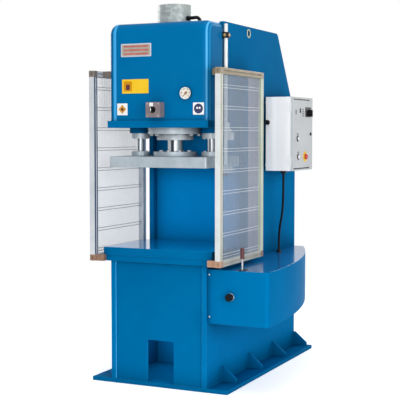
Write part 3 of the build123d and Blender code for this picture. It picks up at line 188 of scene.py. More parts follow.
# What some finishes have in common
# Plain paint carries a painted highlight on its edges and painted shade in its corners
PLAIN = dict(rough=0.30, grain=420, bump=0.05, specular=0.001, edge="2A96D4", edge_radius=0.004, shade=0.75,
             shade_reach=0.16)
STEEL = dict(metallic=0.2, rough=0.36, grain=50, bump=0.04, stretch=ROUND_Z, specular=0.3, edge_radius=0.002,
             shade=0.6, shade_reach=0.04)
BLOCK = dict(metallic=0.2, rough=0.48, grain=260, bump=0.1)
STRUNG = dict(rough=0.45, grain=300, bump=0.1)
BOARD = dict(rough=0.45, grain=500, bump=0.12, specular=0.2)
PRINT = dict(rough=0.35, grain=200, bump=0.02, specular=0.1)
DIAL_PRINT = dict(rough=0.4, grain=150, bump=0.01, specular=0.1)

PAINT = shader("paint_blue", "0069A0", "006FA8", 3.0, **PLAIN)
# Darker copy of the blue paint: painted shade on the pedestal front, the table's sub plate and the table's sides
SHADED_PAINT = shader("paint_blue_shaded", "006195", "00679C", 3.0, **PLAIN)
# Painted highlights and darker painted lines along the head cover's rounded folds, placed across its width
FOLD_PAINTED_LIGHT = (
    (-0.985, "005F98", 0.0), (-0.95, "005F98", 0.45), (-0.90, "006CA3", 0.0), (-0.885, "45AEEC", 0.9),
    (-0.835, "45AEEC", 0.9), (-0.822, "00609A", 0.5), (-0.80, "006CA3", 0.0), (0.925, "006CA3", 0.0),
    (0.94, "5CBBF2", 0.95), (0.957, "5CBBF2", 0.95), (0.97, "0072AB", 0.0), (0.982, "2A8CC4", 0.75),
    (0.996, "2A8CC4", 0.75), (0.9995, "006CA3", 0.0),
)
COVER_HALF_WIDTH = 0.360
COVER_PAINT = shader("paint_cover", "0069A1", "006FA8", 2.5, rough=0.13, rough_span=0.04, grain=420,
                     bump=0.02, specular=0.02, edge="38A6E2", edge_radius=0.005, painted_light_bands=FOLD_PAINTED_LIGHT,
                     across=(1 / COVER_HALF_WIDTH, 0, 0), painted_light_by_place=True, shade=0.5)
# Lighter copy of the blue paint: painted light on the column plate, which lies in the head's shade
LIGHTENED_COLUMN_PAINT = shader("paint_column_lightened", "0088CC", "0090D6", 3.0, rough=0.38, grain=420, bump=0.05,
                      specular=0.01, shade=0.75, shade_reach=0.15)
# Lighter copy of the blue paint for the table's top: painted light where the head shades it; its gloss and coat
# are real
LIGHTENED_TABLE_PAINT = shader("paint_table_lightened", "0092DA", "009AE4", 3.0, rough=0.10, rough_span=0.04, grain=300,
                     bump=0.02, specular=0.30, coat=0.4, edge="2A96D4", edge_radius=0.004)
# Lighter paint for the front corner beads: a painted highlight along the frame's front edges
BEAD_HIGHLIGHT_PAINT = shader("paint_bead_highlight", "2488C6", "3094D2", 9.0, rough=0.25, grain=420, bump=0.05, specular=0.1)
# Glossier finish for the unit cover's top faces; its lighter, greyer blue is a painted reflection
UNIT_TOP_SHEEN = shader("paint_unit_top_sheen", "0C69A8", "1073B4", 3.0, rough=0.16, rough_span=0.05, grain=420,
                  bump=0.02, specular=0.25, edge="2A96D4", edge_radius=0.004)
DARK_PAINT = shader("paint_dark", "0B4E80", "105A90", 4.0, rough=0.45, specular=0.2)
GROUND = shader("steel_ground", "9FABB3", "AFBAC1", 9.0, metallic=0.35, rough=0.42, grain=60, bump=0.04,
                stretch=ALONG_X, edge="E6E9EA")
TURNED = shader("steel_turned", "9BA3A7", "AEB5B8", 12.0, edge="D6DADC", **STEEL)
PALE_STEEL = shader("steel_pale", "A6AFB4", "B7BFC4", 12.0, edge="E6E9EA", **STEEL)
# Painted reflections on the chrome rods: light and dark bands by the way the surface faces
ROD_PAINTED_REFLECTIONS = (
    (-1.0, "6E7A82", 1.0), (-0.9, "DADFE2", 1.0), (-0.62, "EEF1F2", 1.0), (-0.52, "3E4A54", 1.0),
    (-0.20, "2C3842", 1.0), (-0.08, "F0F3F4", 1.0), (0.20, "ECEFF0", 1.0), (0.32, "A6B0B5", 1.0),
    (0.75, "8A959B", 1.0), (1.0, "3C4852", 1.0),
)
CHROME = shader("chrome", "DCE0E2", "E8EBEC", 8.0, metallic=0.1, rough=0.16, rough_span=0.05, grain=90,
                bump=0.01, stretch=(1, 1, 12), specular=0.25, painted_light_bands=ROD_PAINTED_REFLECTIONS, across=(0.905, 0.4255, 0))
CAST = shader("cylinder_grey", "8C9694", "A8AFAC", 13.0, metallic=0.1, rough=0.36, grain=240, bump=0.25,
              specular=0.35, speckle=("BCC3C0", 34), edge="D9DDDB")
GALVANISED = shader("sheet_galvanised", "A9AFB2", "C0C5C8", 26.0, metallic=0.3, rough=0.42, grain=200,
                    bump=0.05, specular=0.3, edge="D6DADC", edge_radius=0.001)
ALUMINIUM = shader("aluminium", "C9CECE", "D8DBDB", 6.0, metallic=0.2, rough=0.36, grain=40, bump=0.03,
                   stretch=ALONG_Z)
# Darker copies of the aluminium: painted shade on the right guard posts' side faces and over the left guard
ALU_SHADE = shader("aluminium_shaded", "8E8D7C", "A5A394", 5.0, metallic=0.25, rough=0.42, grain=40,
                   bump=0.04, stretch=ALONG_Z)
ALU_REAR_SHADED = shader("aluminium_rear_shaded", "AFB7A6", "BEC4B4", 5.0, metallic=0.25, rough=0.4, grain=40, bump=0.04,
                  stretch=ALONG_Z)
ALU_BEIGE = shader("aluminium_beige", "A5A498", "B9B8AD", 9.0, metallic=0.15, rough=0.5, grain=120,
                   bump=0.06, stretch=ALONG_Y)
ALU_COOL_SHADED = shader("aluminium_cool_shaded", "BFC5CB", "D2D6DA", 5.0, metallic=0.25, rough=0.38, grain=40, bump=0.03,
                  stretch=ALONG_Z)
TAUPE_BLOCK = shader("taupe_blocks", "6E655E", "7E746C", 16.0, edge="A59B92", **BLOCK)
BROWN_BLOCK = shader("brown_blocks", "80604F", "95725E", 16.0, edge="C2A48E", **BLOCK)
BRONZE = shader("bronze_blocks", "A27B62", "B98F75", 16.0, edge="E0CDB8", **BLOCK)
BRONZE_RAIL = shader("bronze_rail", "7E725D", "8F836C", 9.0, metallic=0.25, rough=0.42, grain=120, bump=0.05,
                     stretch=ALONG_Y, edge="D9CDB4")
# Dark slate: painted shade on the left guard bars' side faces and under its top rail
SHADE_SLATE = shader("slate_painted_shade", "33435A", "3E5069", 10.0, rough=0.6, bump=0.1)
SHEET = shader("guard_sheet", "B4BECA", "BDC7D2", 2.0, rough=0.2, rough_span=0.05, grain=60, bump=0.02,
               alpha=0.15, specular=0.05)
# Dimmer, bluer copy of the sheet: painted shade on the right guard's sheet
SHEET_SHADED = shader("guard_sheet_right_shaded", "6F8CAB", "7C98B5", 6.0, rough=0.2, rough_span=0.05, grain=60,
                    bump=0.02, alpha=0.20, specular=0.02)
WIRE = shader("mesh_wire", "F0F3F6", "F8FAFB", 30.0, specular=0.2, **STRUNG)
# Dark copy of the wire for the left mesh and dimmer copy of the strands for the right mesh: painted shade
WIRE_SHADED = shader("mesh_wire_shaded", "303A44", "3C4650", 30.0, specular=0.2, **STRUNG)
STRAND_SHADED = shader("mesh_strand_right_shaded", "D2DCE6", "DCE5ED", 30.0, specular=0.05, **STRUNG)
STRAND = shader("mesh_strand", "DCE2E8", "E4E9EE", 30.0, specular=0.2, **STRUNG)
BAND = shader("sheet_band", "B4A3A6", "BEB0B1", 8.0, rough=0.4, grain=150, alpha=0.85, specular=0.05)
WHITE_BOX = shader("enclosure_white", "F7F5F2", "FAF9F6", 4.0, edge="FAFAFB", **BOARD)
DOOR_WHITE = shader("door_white", "BEC2C4", "C8CBCD", 4.0, edge="F0F2F3", **BOARD)
BLACK = shader("plastic_black", "0C0D0F", "131417", 30.0, rough=0.30, grain=500, specular=0.12,
               edge="34363A", edge_radius=0.0015)
RUBBER = shader("rubber", "0B0C0D", "131416", 40.0, rough=0.55, grain=600, bump=0.2, specular=0.1)
WHITE = shader("plastic_white", "E4E4E0", "ECECE9", 20.0, rough=0.28, grain=300, bump=0.03)
RED = shader("plastic_red", "BE2E2C", "C93A34", 20.0, rough=0.25, grain=300, bump=0.03)
GRIP = shader("grip_red", "43141C", "571B24", 60.0, rough=0.5, grain=500, bump=0.15)
YELLOW = shader("yellow_field", "F2C428", "F6CC38", 8.0, **PRINT)
AMBER = shader("amber_field", "D08C14", "DA9A22", 8.0, **PRINT)
DIAL = shader("dial_cream", "F3EBDD", "F6F0E4", 10.0, **DIAL_PRINT)
DIAL_CENTRE = shader("dial_orange", "E2B48A", "E8C09A", 20.0, **DIAL_PRINT)
PLATE = shader("plate_aluminium", "BCC2CC", "C8CDD6", 14.0, metallic=0.2, rough=0.45, grain=80, bump=0.03,
               stretch=(1, 12, 12), specular=0.2)
FIELD = shader("plate_field", "A39F90", "B0A99A", 30.0, rough=0.5, grain=200, bump=0.05, specular=0.1)
PLATE_BAR = shader("plate_bars", "B5605F", "C77370", 30.0, rough=0.5, specular=0.1)
LABEL = shader("label_white", "F0F1EE", "F5F6F4", 10.0, rough=0.35, grain=150, bump=0.01)
NAVY = shader("label_navy", "1C2450", "232C5C", 30.0)
OCHRE = shader("label_ochre", "C98A1C", "D49A34", 30.0)
TAUPE = shader("selector_taupe", "75696B", "82767A", 18.0, rough=0.5, bump=0.15, edge="B3A9AC")
BRASS = shader("brass", "A88A5A", "BC9F6E", 20.0, metallic=0.5, rough=0.35)
MOTOR = shader("motor_grey", "5B646B", "667078", 12.0, rough=0.5, grain=300, bump=0.2, edge="8B959C")
SCREW = shader("screw_zinc", "C2C8CC", "D2D6D9", 60.0, metallic=0.3, rough=0.32, grain=300, specular=0.3)
LENS = shader("gauge_lens", "F4F8FA", "F8FBFC", 10.0, rough=0.03, rough_span=0.02, alpha=0.06, specular=0.2)
OLIVE_RIM = shader("lift_rim", "A8BBA6", "BCCAB6", 30.0, rough=0.45, grain=300, edge="C9D2BE",
                   edge_radius=0.002)
SEAL = shader("seal_green", "2E5A3A", "356543", 30.0, rough=0.6)

node_finish = {
    PAINT: """floor_plate base_gussets left_side_plate right_side_plate rear_plate head_plate head_ribs
        guide_housings unit_cover""",
    SHADED_PAINT: "pedestal_front_plate table_sub_plate",
    LIGHTENED_COLUMN_PAINT: "column_plate",
    COVER_PAINT: "head_cover",
    LIGHTENED_TABLE_PAINT: "bolster_table",
    DARK_PAINT: "oil_tank",
    GROUND: "platen rod_flange guide_collars stroke_block piston",
    TURNED: "gland_bolts motor_shaft",
    PALE_STEEL: "rod_gland guide_flanges gland_flange",
    CHROME: "piston_rod guide_rods hand_lever",
    CAST: "cylinder_barrel cylinder_cap pump",
    ALUMINIUM: "guard_profiles",
    BRONZE: "guard_corners",
    SHEET: "guard_panels",
    WHITE_BOX: "enclosure_body limit_switch door_hinges",
    DOOR_WHITE: "enclosure_door",
    BLACK: """gauge_case gauge_needle clamp_knob pressure_knob main_switch door_latch cable_glands
        selector_knob hose_fitting trip_dog""",
    RUBBER: "cables pressure_hose",
    WHITE: "stroke_rod start_button reset_button",
    RED: "stop_button",
    GRIP: "lever_grip",
    TAUPE: "selector_box",
    MOTOR: "motor valve_block contactor_panel",
    SEAL: "piston_seals",
}
for finish, names in node_finish.items():
    for name in names.split():
        mesh = nodes[name].data
        mesh.materials.clear()
        mesh.materials.append(finish)

# Where a node's finish changes from one of its faces to the next
FACES_UP = 0.9
UPPER_CORNERS_Z = 1.5
REAR_CORNERS_Y = -0.6
gear_low, gear_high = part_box("contactor_panel")
SHEET_DEPTH = 0.004
FRONT_DEPTH = 0.001


def finish_faces(obj, choose):
    """Gives each face the finish that choose returns for its centre and normal."""
    finishes = []
    chosen = []
    for polygon in obj.data.polygons:
        found = choose(polygon.center, polygon.normal)
        if found not in finishes:
            finishes.append(found)
        chosen.append(finishes.index(found))
    obj.data.materials.clear()
    for found in finishes:
        obj.data.materials.append(found)
    obj.data.polygons.foreach_set("material_index", chosen)


def corner_finish(centre, normal):
    """Finish of a guard's corner blocks, legs and arms by their corner."""
    if centre.z > UPPER_CORNERS_Z:
        if centre.x > 0:
            return BRONZE_RAIL
        return TAUPE_BLOCK if centre.y < REAR_CORNERS_Y else ALU_COOL_SHADED
    if centre.x < 0 or centre.y > REAR_CORNERS_Y:
        return BROWN_BLOCK
    return BRONZE


def gear_finish(centre, normal):
    """Finish of the enclosure's mounting sheet, of the contactors and of their fronts."""
    if centre.x < gear_low.x + SHEET_DEPTH:
        return GALVANISED
    return BLACK if centre.x > gear_high.x - FRONT_DEPTH else MOTOR


finish_faces(nodes["contactor_panel"], gear_finish)
# The table's top takes the lighter paint and its sides the darker one: painted light and painted shade
finish_faces(nodes["bolster_table"],
             lambda centre, normal: LIGHTENED_TABLE_PAINT if normal.z > FACES_UP else SHADED_PAINT)
# The unit cover's top faces take the glossier finish with its painted reflection tint
finish_faces(nodes["unit_cover"], lambda centre, normal: UNIT_TOP_SHEEN if normal.z > FACES_UP else PAINT)
finish_faces(nodes["guard_corners"], corner_finish)
finish_faces(nodes["guard_panels"], lambda centre, normal: SHEET_SHADED if centre.x > 0 else SHEET)


# ---- Tools for the pieces ----
# Least radius of a turned end, steps round a plate's corner, and how a weld bead is drawn
POINT = 1e-5
CORNER_STEPS = 5
BEAD_SIDES, BEAD_STEP, BEAD_RIPPLE = 8, 0.012, 0.25


def circle(centre, axis, radius, sides, turn=0.0):
    """Points round a centre, across an axis of length one."""
    first = axis.orthogonal().normalized()
    second = axis.cross(first)
    angles = [turn + 2 * math.pi * i / sides for i in range(sides)]
    return [centre + radius * (first * math.cos(angle) + second * math.sin(angle)) for angle in angles]


def disc(radius, height):
    """Profile of a plain disc."""
    return [(0.0, 0.0), (radius, 0.0), (radius, height), (0.0, height)]


def rounded(width, height, radius):
    """Outline of a rounded rectangle round the origin, as (u, v) pairs."""
    points = []
    for corner_u, corner_v, start in ((1, 1, 0), (-1, 1, 90), (-1, -1, 180), (1, -1, 270)):
        for i in range(CORNER_STEPS + 1):
            angle = math.radians(start + 90 * i / CORNER_STEPS)
            points.append((corner_u * (width / 2 - radius) + radius * math.cos(angle),
                           corner_v * (height / 2 - radius) + radius * math.sin(angle)))
    return points


class Maker:
    """Collects shapes in one mesh, each with its own finish."""

    def __init__(self):
        self.mesh = bmesh.new()
        self.finishes = []

    def loft(self, rings, finish, closed=False):
        """Skin over rings of points: its ends are filled, or joined where closed is set."""
        if finish not in self.finishes:
            self.finishes.append(finish)
        slot = self.finishes.index(finish)
        made = [[self.mesh.verts.new(p) for p in ring] for ring in rings]
        pairs = list(zip(made, made[1:]))
        if closed:
            pairs.append((made[-1], made[0]))
        for lower, upper in pairs:
            count = len(lower)
            for i in range(count):
                j = (i + 1) % count
                face = self.mesh.faces.new((lower[i], lower[j], upper[j], upper[i]))
                face.material_index = slot
        if not closed:
            self.mesh.faces.new(list(reversed(made[0]))).material_index = slot
            self.mesh.faces.new(made[-1]).material_index = slot

    def prism(self, points, shift, finish, chamfer=0.0):
        """Solid between a flat outline and its copy moved by shift, with the far edge chamfered."""
        shift = Vector(shift)
        outline = [Vector(p) for p in points]
        centre = sum(outline, Vector()) / len(outline)
        rings = [outline]
        if chamfer:
            depth = shift.length
            side = shift * ((depth - chamfer) / depth)
            rings.append([p + side for p in outline])
            reach = max((p - centre).length for p in outline)
            rings.append([centre + (p - centre) * (1 - chamfer / reach) + shift for p in outline])
        else:
            rings.append([p + shift for p in outline])
        self.loft(rings, finish)

    def box(self, low, high, finish, chamfer=0.0):
        """Upright box between two corners, chamfered on its top edge."""
        (x0, y0, z0), (x1, y1, z1) = low, high
        self.prism([(x0, y0, z0), (x1, y0, z0), (x1, y1, z0), (x0, y1, z0)], (0, 0, z1 - z0), finish, chamfer)

    def front_plate(self, place, size, thick, finish, chamfer=0.0):
        """Plate that faces the front: place is its back's middle, size its width, height and corner radius."""
        x, y, z = place
        self.prism([(x + u, y, z + v) for u, v in rounded(*size)], (0, -thick, 0), finish, chamfer)

    def side_plate(self, place, size, thick, finish, chamfer=0.0):
        """The same for a plate that faces the right."""
        x, y, z = place
        self.prism([(x, y + u, z + v) for u, v in rounded(*size)], (thick, 0, 0), finish, chamfer)

    def lathe(self, origin, axis, profile, finish, sides=32, turn=0.0):
        """Turned shape: profile is (radius, distance along the axis) from one end to the other."""
        origin, axis = Vector(origin), Vector(axis).normalized()
        self.loft([circle(origin + axis * far, axis, max(radius, POINT), sides, turn) for radius, far in profile],
                  finish)

    def ring(self, origin, axis, inner, outer, start, end, finish, sides=40, chamfer=0.0):
        """Flat ring with a chamfer on its far edges."""
        c = chamfer
        profile = [(inner, start), (outer, start), (outer, end - c), (outer - c, end), (inner + c, end),
                   (inner, end - c)]
        origin, axis = Vector(origin), Vector(axis).normalized()
        self.loft([circle(origin + axis * far, axis, radius, sides) for radius, far in profile], finish,
                  closed=True)

    def bead(self, start, end, radius, finish):
        """Rippled weld bead along a straight run."""
        start, end = Vector(start), Vector(end)
        count = max(2, int((end - start).length / BEAD_STEP))
        route = [start.lerp(end, i / count) for i in range(count)] + [end]
        rings = []
        for i, point in enumerate(route):
            run = (route[min(i + 1, count)] - route[max(i - 1, 0)]).normalized()
            size = radius * (1 + BEAD_RIPPLE * (0.6 * (i % 2) - 0.3 + rng.uniform(-0.4, 0.4)))
            rings.append(circle(point, run, size, BEAD_SIDES))
        self.loft(rings, finish)

    def socket_screw(self, seat, axis, radius, height):
        """Cap screw with a socket."""
        hollow = radius * 0.5
        profile = [(0.0, 0.0), (radius, 0.0), (radius, height * 0.85), (radius * 0.9, height), (hollow, height),
                   (hollow, height * 0.45), (0.0, height * 0.45)]
        self.lathe(seat, axis, profile, SCREW, sides=18)

    def pan_screw(self, seat, axis, radius, height):
        """Domed screw with a slot drawn as a dark bar: painted shade standing in for the slot's hollow."""
        profile = [(0.0, 0.0), (radius, 0.0), (radius, height * 0.35), (radius * 0.8, height * 0.8),
                   (radius * 0.35, height), (0.0, height)]
        self.lathe(seat, axis, profile, SCREW, sides=20)
        seat, axis = Vector(seat), Vector(axis).normalized()
        across = axis.orthogonal().normalized()
        up = axis.cross(across)
        half = radius * 0.1
        lift = axis * height * 0.9
        corners = [seat + lift + across * radius * 0.75 * s + up * half * t
                   for s, t in ((-1, -1), (1, -1), (1, 1), (-1, 1))]
        self.prism(corners, axis * height * 0.15, BLACK)

    def hex_bolt(self, seat, axis, radius, height, finish=SCREW):
        """Hexagon head on a washer."""
        washer = height * 0.2
        self.lathe(seat, axis, disc(radius * 1.35, washer), finish, sides=24)
        self.lathe(seat, axis, [(0.0, washer), (radius, washer), (radius, height * 0.9), (radius * 0.85, height),
                                (0.0, height)], finish, sides=6)

    def done(self, name, body, smooth=35):
        """Finished object that rides on a body."""
        bmesh.ops.recalc_face_normals(self.mesh, faces=self.mesh.faces)
        data = bpy.data.meshes.new(name)
        self.mesh.to_mesh(data)
        self.mesh.free()
        for finish in self.finishes:
            data.materials.append(finish)
        data.shade_smooth()
        data.set_sharp_from_angle(angle=math.radians(smooth))
        made = bpy.data.objects.new(name, data)
        scene.collection.objects.link(made)
        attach(made, body)
        return made


def pointing(middle, turn, corners):
    """Flat outline on the gauge: corners are (outward, sideways) from the middle, turned by an angle."""
    out = Vector((math.cos(turn), 0, math.sin(turn)))
    side = Vector((-math.sin(turn), 0, math.cos(turn)))
    return [middle + out * a + side * b for a, b in corners]


# ---- Camera at the photograph's place ----
camera_data = bpy.data.cameras.new("camera")
camera_data.lens = 94.62
camera_data.sensor_width = 36.0
camera = bpy.data.objects.new("camera", camera_data)
camera.location = (3.1096, -6.7795, 1.6429)
camera.rotation_euler = (math.radians(90 - 3.62), 0, math.radians(25.18))
scene.collection.objects.link(camera)
scene.camera = camera

# ---- World: white where it is seen, weaker where it only lights ----
world = bpy.data.worlds.new("studio")
scene.world = world
world.use_nodes = True
tree = world.node_tree
tree.nodes.clear()
seen = add(tree, "ShaderNodeBackground", Color=(1, 1, 1, 1), Strength=1.0)
felt = add(tree, "ShaderNodeBackground", Color=(0.98, 0.99, 1.0, 1), Strength=0.34)
rays = add(tree, "ShaderNodeLightPath").outputs
mirrored = add(tree, "ShaderNodeMath", rays["Is Glossy Ray"], rays["Is Transmission Ray"], operation="MAXIMUM")
shown = add(tree, "ShaderNodeMath", rays["Is Camera Ray"], mirrored, operation="MAXIMUM")
add(tree, "ShaderNodeOutputWorld", add(tree, "ShaderNodeMixShader", shown, felt, seen))

# ---- Floor that fades out round the press ----
FLOOR_RADIUS = 9.0
FLOOR_DROP = 0.001
FADE_RANGE = (1.6, 4.5)
floor_mesh = bmesh.new()
bmesh.ops.create_circle(floor_mesh, cap_ends=True, segments=96, radius=FLOOR_RADIUS)
floor_data = bpy.data.meshes.new("floor")
floor_mesh.to_mesh(floor_data)
floor_mesh.free()
floor = bpy.data.objects.new("floor", floor_data)
floor.location = (0, 0, -FLOOR_DROP)
scene.collection.objects.link(floor)
floor_finish = bpy.data.materials.new("floor_white")
floor_finish.use_nodes = True
tree = floor_finish.node_tree
tree.nodes.clear()
matt = add(tree, "ShaderNodeBsdfDiffuse", Color=(0.86, 0.87, 0.88, 1))
lift = add(tree, "ShaderNodeEmission", Strength=0.50)
pale = add(tree, "ShaderNodeAddShader", matt, lift)
place = add(tree, "ShaderNodeTexCoord").outputs["Object"]
distance = add(tree, "ShaderNodeVectorMath", place, operation="LENGTH").outputs["Value"]
reach = spread(tree, distance, *FADE_RANGE, interpolation_type="SMOOTHSTEP")
clear = add(tree, "ShaderNodeBsdfTransparent")
add(tree, "ShaderNodeOutputMaterial", add(tree, "ShaderNodeMixShader", reach, pale, clear))
floor_data.materials.append(floor_finish)

# ---- Lamps: name, place, target, width, height and power ----
MIDDLE = (0, 0, 1.2)
for name, location, target, width, height, power in (
    ("key", (2.4, -6.8, 1.7), MIDDLE, 2.4, 2.4, 110),
    ("fill", (6.0, -3.6, 2.0), MIDDLE, 3.2, 3.0, 170),
    ("strip", (4.1, -4.0, 1.7), (0, 0, 1.4), 0.16, 3.2, 28),
    ("fold", (0.2, -7.0, 1.9), (0, 0, 1.6), 0.12, 2.8, 30),
    ("inside", (0.0, -0.50, 0.62), (0.02, -0.35, 0.2), 0.40, 0.20, 1.6),
    ("top", (0.4, -1.8, 6.4), (0, -0.3, 1.0), 2.6, 2.6, 85),
    ("back", (0.5, 6.0, 3.4), MIDDLE, 3.0, 3.0, 150),
    ("left", (-6.0, 1.5, 2.6), MIDDLE, 3.0, 3.0, 130),
):
    data = bpy.data.lights.new(name, "AREA")
    data.shape = "RECTANGLE"
    data.size = width
    data.size_y = height
    data.energy = power
    lamp = bpy.data.objects.new(name, data)
    lamp.location = location
    lamp.rotation_euler = (Vector(target) - Vector(location)).to_track_quat("-Z", "Y").to_euler()
    scene.collection.objects.link(lamp)

# ---- Plates on the head cover ----
PROUD = 0.0012
RIM = 0.0006
PLATE_FACE = FRONT - PROUD
RATING_X, RATING_Z = -0.153, 2.177
SIGN_X, SIGN_Z = -0.1595, 1.9455
PICTURE_X, SPOT_Z = -0.213, 1.940
LABELS_Z = 1.799
DIAMOND_X, BADGE_X = -0.255, 0.2905
DOTS_X, DOTS_Z = (-0.0085, 0.0085), 1.803
THIN, FIELD_THICK = 0.0003, 0.0004
BARS_Z, CORNERS_X, CORNERS_Z = (2.201, 2.177, 2.153), (-0.100, 0.100), (-0.034, 0.034)
PLATE_SCREW = (0.0035, 0.0018)
plates = Maker()
plates.front_plate((RATING_X, FRONT, RATING_Z), (0.220, 0.084, 0.004), PROUD, PLATE, RIM)
plates.front_plate((RATING_X, PLATE_FACE, RATING_Z), (0.204, 0.069, 0.003), 0.0002, FIELD)
for bar_z in BARS_Z:
    plates.front_plate((RATING_X, PLATE_FACE, bar_z), (0.180, 0.0105, 0.003), 0.0005, PLATE_BAR)
for u in CORNERS_X:
    for v in CORNERS_Z:
        plates.pan_screw((RATING_X + u, PLATE_FACE, RATING_Z + v), -Y, *PLATE_SCREW)
plates.front_plate((SIGN_X, FRONT, SIGN_Z), (0.193, 0.091, 0.004), PROUD, YELLOW, RIM)
plates.front_plate((PICTURE_X, PLATE_FACE, SIGN_Z), (0.060, 0.064, 0.003), FIELD_THICK, AMBER)
plates.front_plate((PICTURE_X, PLATE_FACE - FIELD_THICK, SPOT_Z), (0.030, 0.036, 0.010), THIN, GRIP)
for label_x in (DIAMOND_X, BADGE_X):
    plates.front_plate((label_x, FRONT, LABELS_Z), (0.076, 0.076, 0.003), PROUD, LABEL, RIM)
plates.lathe((DIAMOND_X, PLATE_FACE, LABELS_Z), -Y, disc(0.029, FIELD_THICK), OCHRE, 4, math.pi / 4)
plates.lathe((DIAMOND_X, PLATE_FACE - FIELD_THICK, LABELS_Z), -Y, disc(0.010, THIN), GRIP, 24)
plates.lathe((BADGE_X, PLATE_FACE, LABELS_Z), -Y, disc(0.031, FIELD_THICK), NAVY, 40)
for u in DOTS_X:
    plates.lathe((BADGE_X + u, PLATE_FACE - FIELD_THICK, DOTS_Z), -Y, disc(0.0068, THIN), LABEL, 24)
plates.done("head_plates", "frame")

# ---- Rims round the lifting holes ----
LIFT_Y, LIFT_Z = -0.125, 2.320
LIFT_INNER, LIFT_OUTER, LIFT_THICK = 0.0222, 0.0300, 0.0045
rims = Maker()
for side in SIDES:
    rims.ring((side * SIDE, LIFT_Y, LIFT_Z), (side, 0, 0), LIFT_INNER, LIFT_OUTER, 0.0, LIFT_THICK, OLIVE_RIM,
              chamfer=0.001)
rims.done("lifting_rims", "frame")

# ---- Bolted access panel on the rear plate ----
REAR_SHEET = 0.008
PANEL_Z, PANEL_THICK = 0.70, 0.0035
PANEL_SIZE = (0.420, 0.620, 0.020)
PANEL_BOLTS_X, PANEL_BOLTS_Z = (-0.190, 0.0, 0.190), (-0.290, 0.0, 0.290)
PANEL_BOLT = (0.0065, 0.0040)
rear_face = REAR - REAR_SHEET
panel = Maker()
panel.prism([(u, rear_face, PANEL_Z + v) for u, v in rounded(*PANEL_SIZE)], (0, PANEL_THICK, 0), PAINT, 0.0010)
for u in PANEL_BOLTS_X:
    for v in PANEL_BOLTS_Z:
        if u or v:
            panel.hex_bolt((u, rear_face + PANEL_THICK, PANEL_Z + v), Y, *PANEL_BOLT)
panel.done("rear_panel", "frame")

# ---- Gauge: bezel, dial with its scale, needle and lens ----
GAUGE = Vector((0.205, FRONT, 1.896))
DIAL_Y = FRONT - 0.009
BEZEL_DEPTH, LENS_DEPTH = 0.016, 0.0145
BEZEL_INNER, BEZEL_OUTER, DIAL_RADIUS, CENTRE_RADIUS = 0.0325, 0.0378, 0.0336, 0.0135
DIAL_THICK, CENTRE_THICK, MARK_THICK = 0.0002, 0.0001, 0.0001
SCALE_START, SCALE_SWEEP = 225, 270
MARKS, MARKS_PER_MAJOR = 50, 10
MARK_END = 0.031
MAJOR, MINOR = (0.0225, 0.0018), (0.0275, 0.0005)
NEEDLE = ((-0.013, -0.0038), (0.026, -0.0012), (0.026, 0.0012), (-0.013, 0.0038))
dial_middle = Vector((GAUGE.x, DIAL_Y - DIAL_THICK, GAUGE.z))
gauge = Maker()
gauge.ring((GAUGE.x, FRONT - BEZEL_DEPTH, GAUGE.z), -Y, BEZEL_INNER, BEZEL_OUTER, -0.003, 0.002, WHITE, 48,
           0.0008)
gauge.lathe((GAUGE.x, DIAL_Y, GAUGE.z), -Y, disc(DIAL_RADIUS, DIAL_THICK), DIAL, 48)
gauge.lathe((GAUGE.x, DIAL_Y - DIAL_THICK, GAUGE.z), -Y, disc(CENTRE_RADIUS, CENTRE_THICK), DIAL_CENTRE, 40)
for step in range(MARKS + 1):
    turn = math.radians(SCALE_START - SCALE_SWEEP * step / MARKS)
    start, half = MINOR if step % MARKS_PER_MAJOR else MAJOR
    corners = ((start, -half), (MARK_END, -half), (MARK_END, half), (start, half))
    gauge.prism(pointing(dial_middle, turn, corners), (0, -MARK_THICK, 0), BLACK)
gauge.done("gauge_dial", "frame")
needle_base = Vector((GAUGE.x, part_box("gauge_needle")[0].y, GAUGE.z))
needle = Maker()
needle.prism(pointing(needle_base, math.radians(SCALE_START), NEEDLE), (0, -0.0006, 0), BLACK)
needle.lathe(needle_base, -Y, [(0.0, 0.0), (0.0048, 0.0), (0.0044, 0.0016), (0.0, 0.0018)], BLACK, 24)
needle.done("needle_face", "needle_body")
lens_profile = [(0.0, 0.0), (0.0335, 0.0), (0.0335, 0.0008), (0.024, 0.0018), (0.012, 0.0024), (0.0, 0.0026)]
lens = Maker()
lens.lathe((GAUGE.x, FRONT - LENS_DEPTH, GAUGE.z), -Y, lens_profile, LENS, 48)
lens.done("gauge_lens", "frame")

# ---- Selector box: ring, label, screws and the knob's pointer ----
SELECTOR_Z = 1.793
BOX_SCREWS_X, BOX_SCREWS_Z = (-0.040, 0.040), (-0.038, 0.038)
BOX_SCREW = (0.0035, 0.002)
box_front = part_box("selector_box")[0].y
selector = Maker()
selector.ring((0, box_front, SELECTOR_Z), -Y, 0.0152, 0.021, 0.0, 0.003, BLACK, chamfer=0.0008)
selector.front_plate((-0.010, box_front, 1.826), (0.027, 0.022, 0.002), 0.001, LABEL, 0.0004)
for u in BOX_SCREWS_X:
    for v in BOX_SCREWS_Z:
        selector.pan_screw((u, box_front, SELECTOR_Z + v), -Y, *BOX_SCREW)
selector.done("selector_trim", "frame")
pointer = Maker()
pointer.front_plate((0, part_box("selector_knob")[0].y, SELECTOR_Z), (0.0055, 0.022, 0.002), 0.0006, LABEL, 0.0002)
pointer.done("selector_pointer", "selector_body")

# ---- Welds along the floor plate, round the gussets and down the frame's corners ----
SIDE_BEAD, GUSSET_BEAD, FRONT_BEAD, THIN_BEAD = 0.0045, 0.0035, 0.005, 0.004
GUSSETS, GUSSET_FIRST, GUSSET_PITCH, GUSSET_HALF = 4, 0.240, 0.450, 0.0075
GUSSET_REACH, GUSSET_RISE = 0.106, 0.093
INSET, SHEET_BACK, REAR_TOP = 0.030, 0.0085, 1.74
OPENING_LEFT, OPENING_RIGHT = -0.082, 0.112
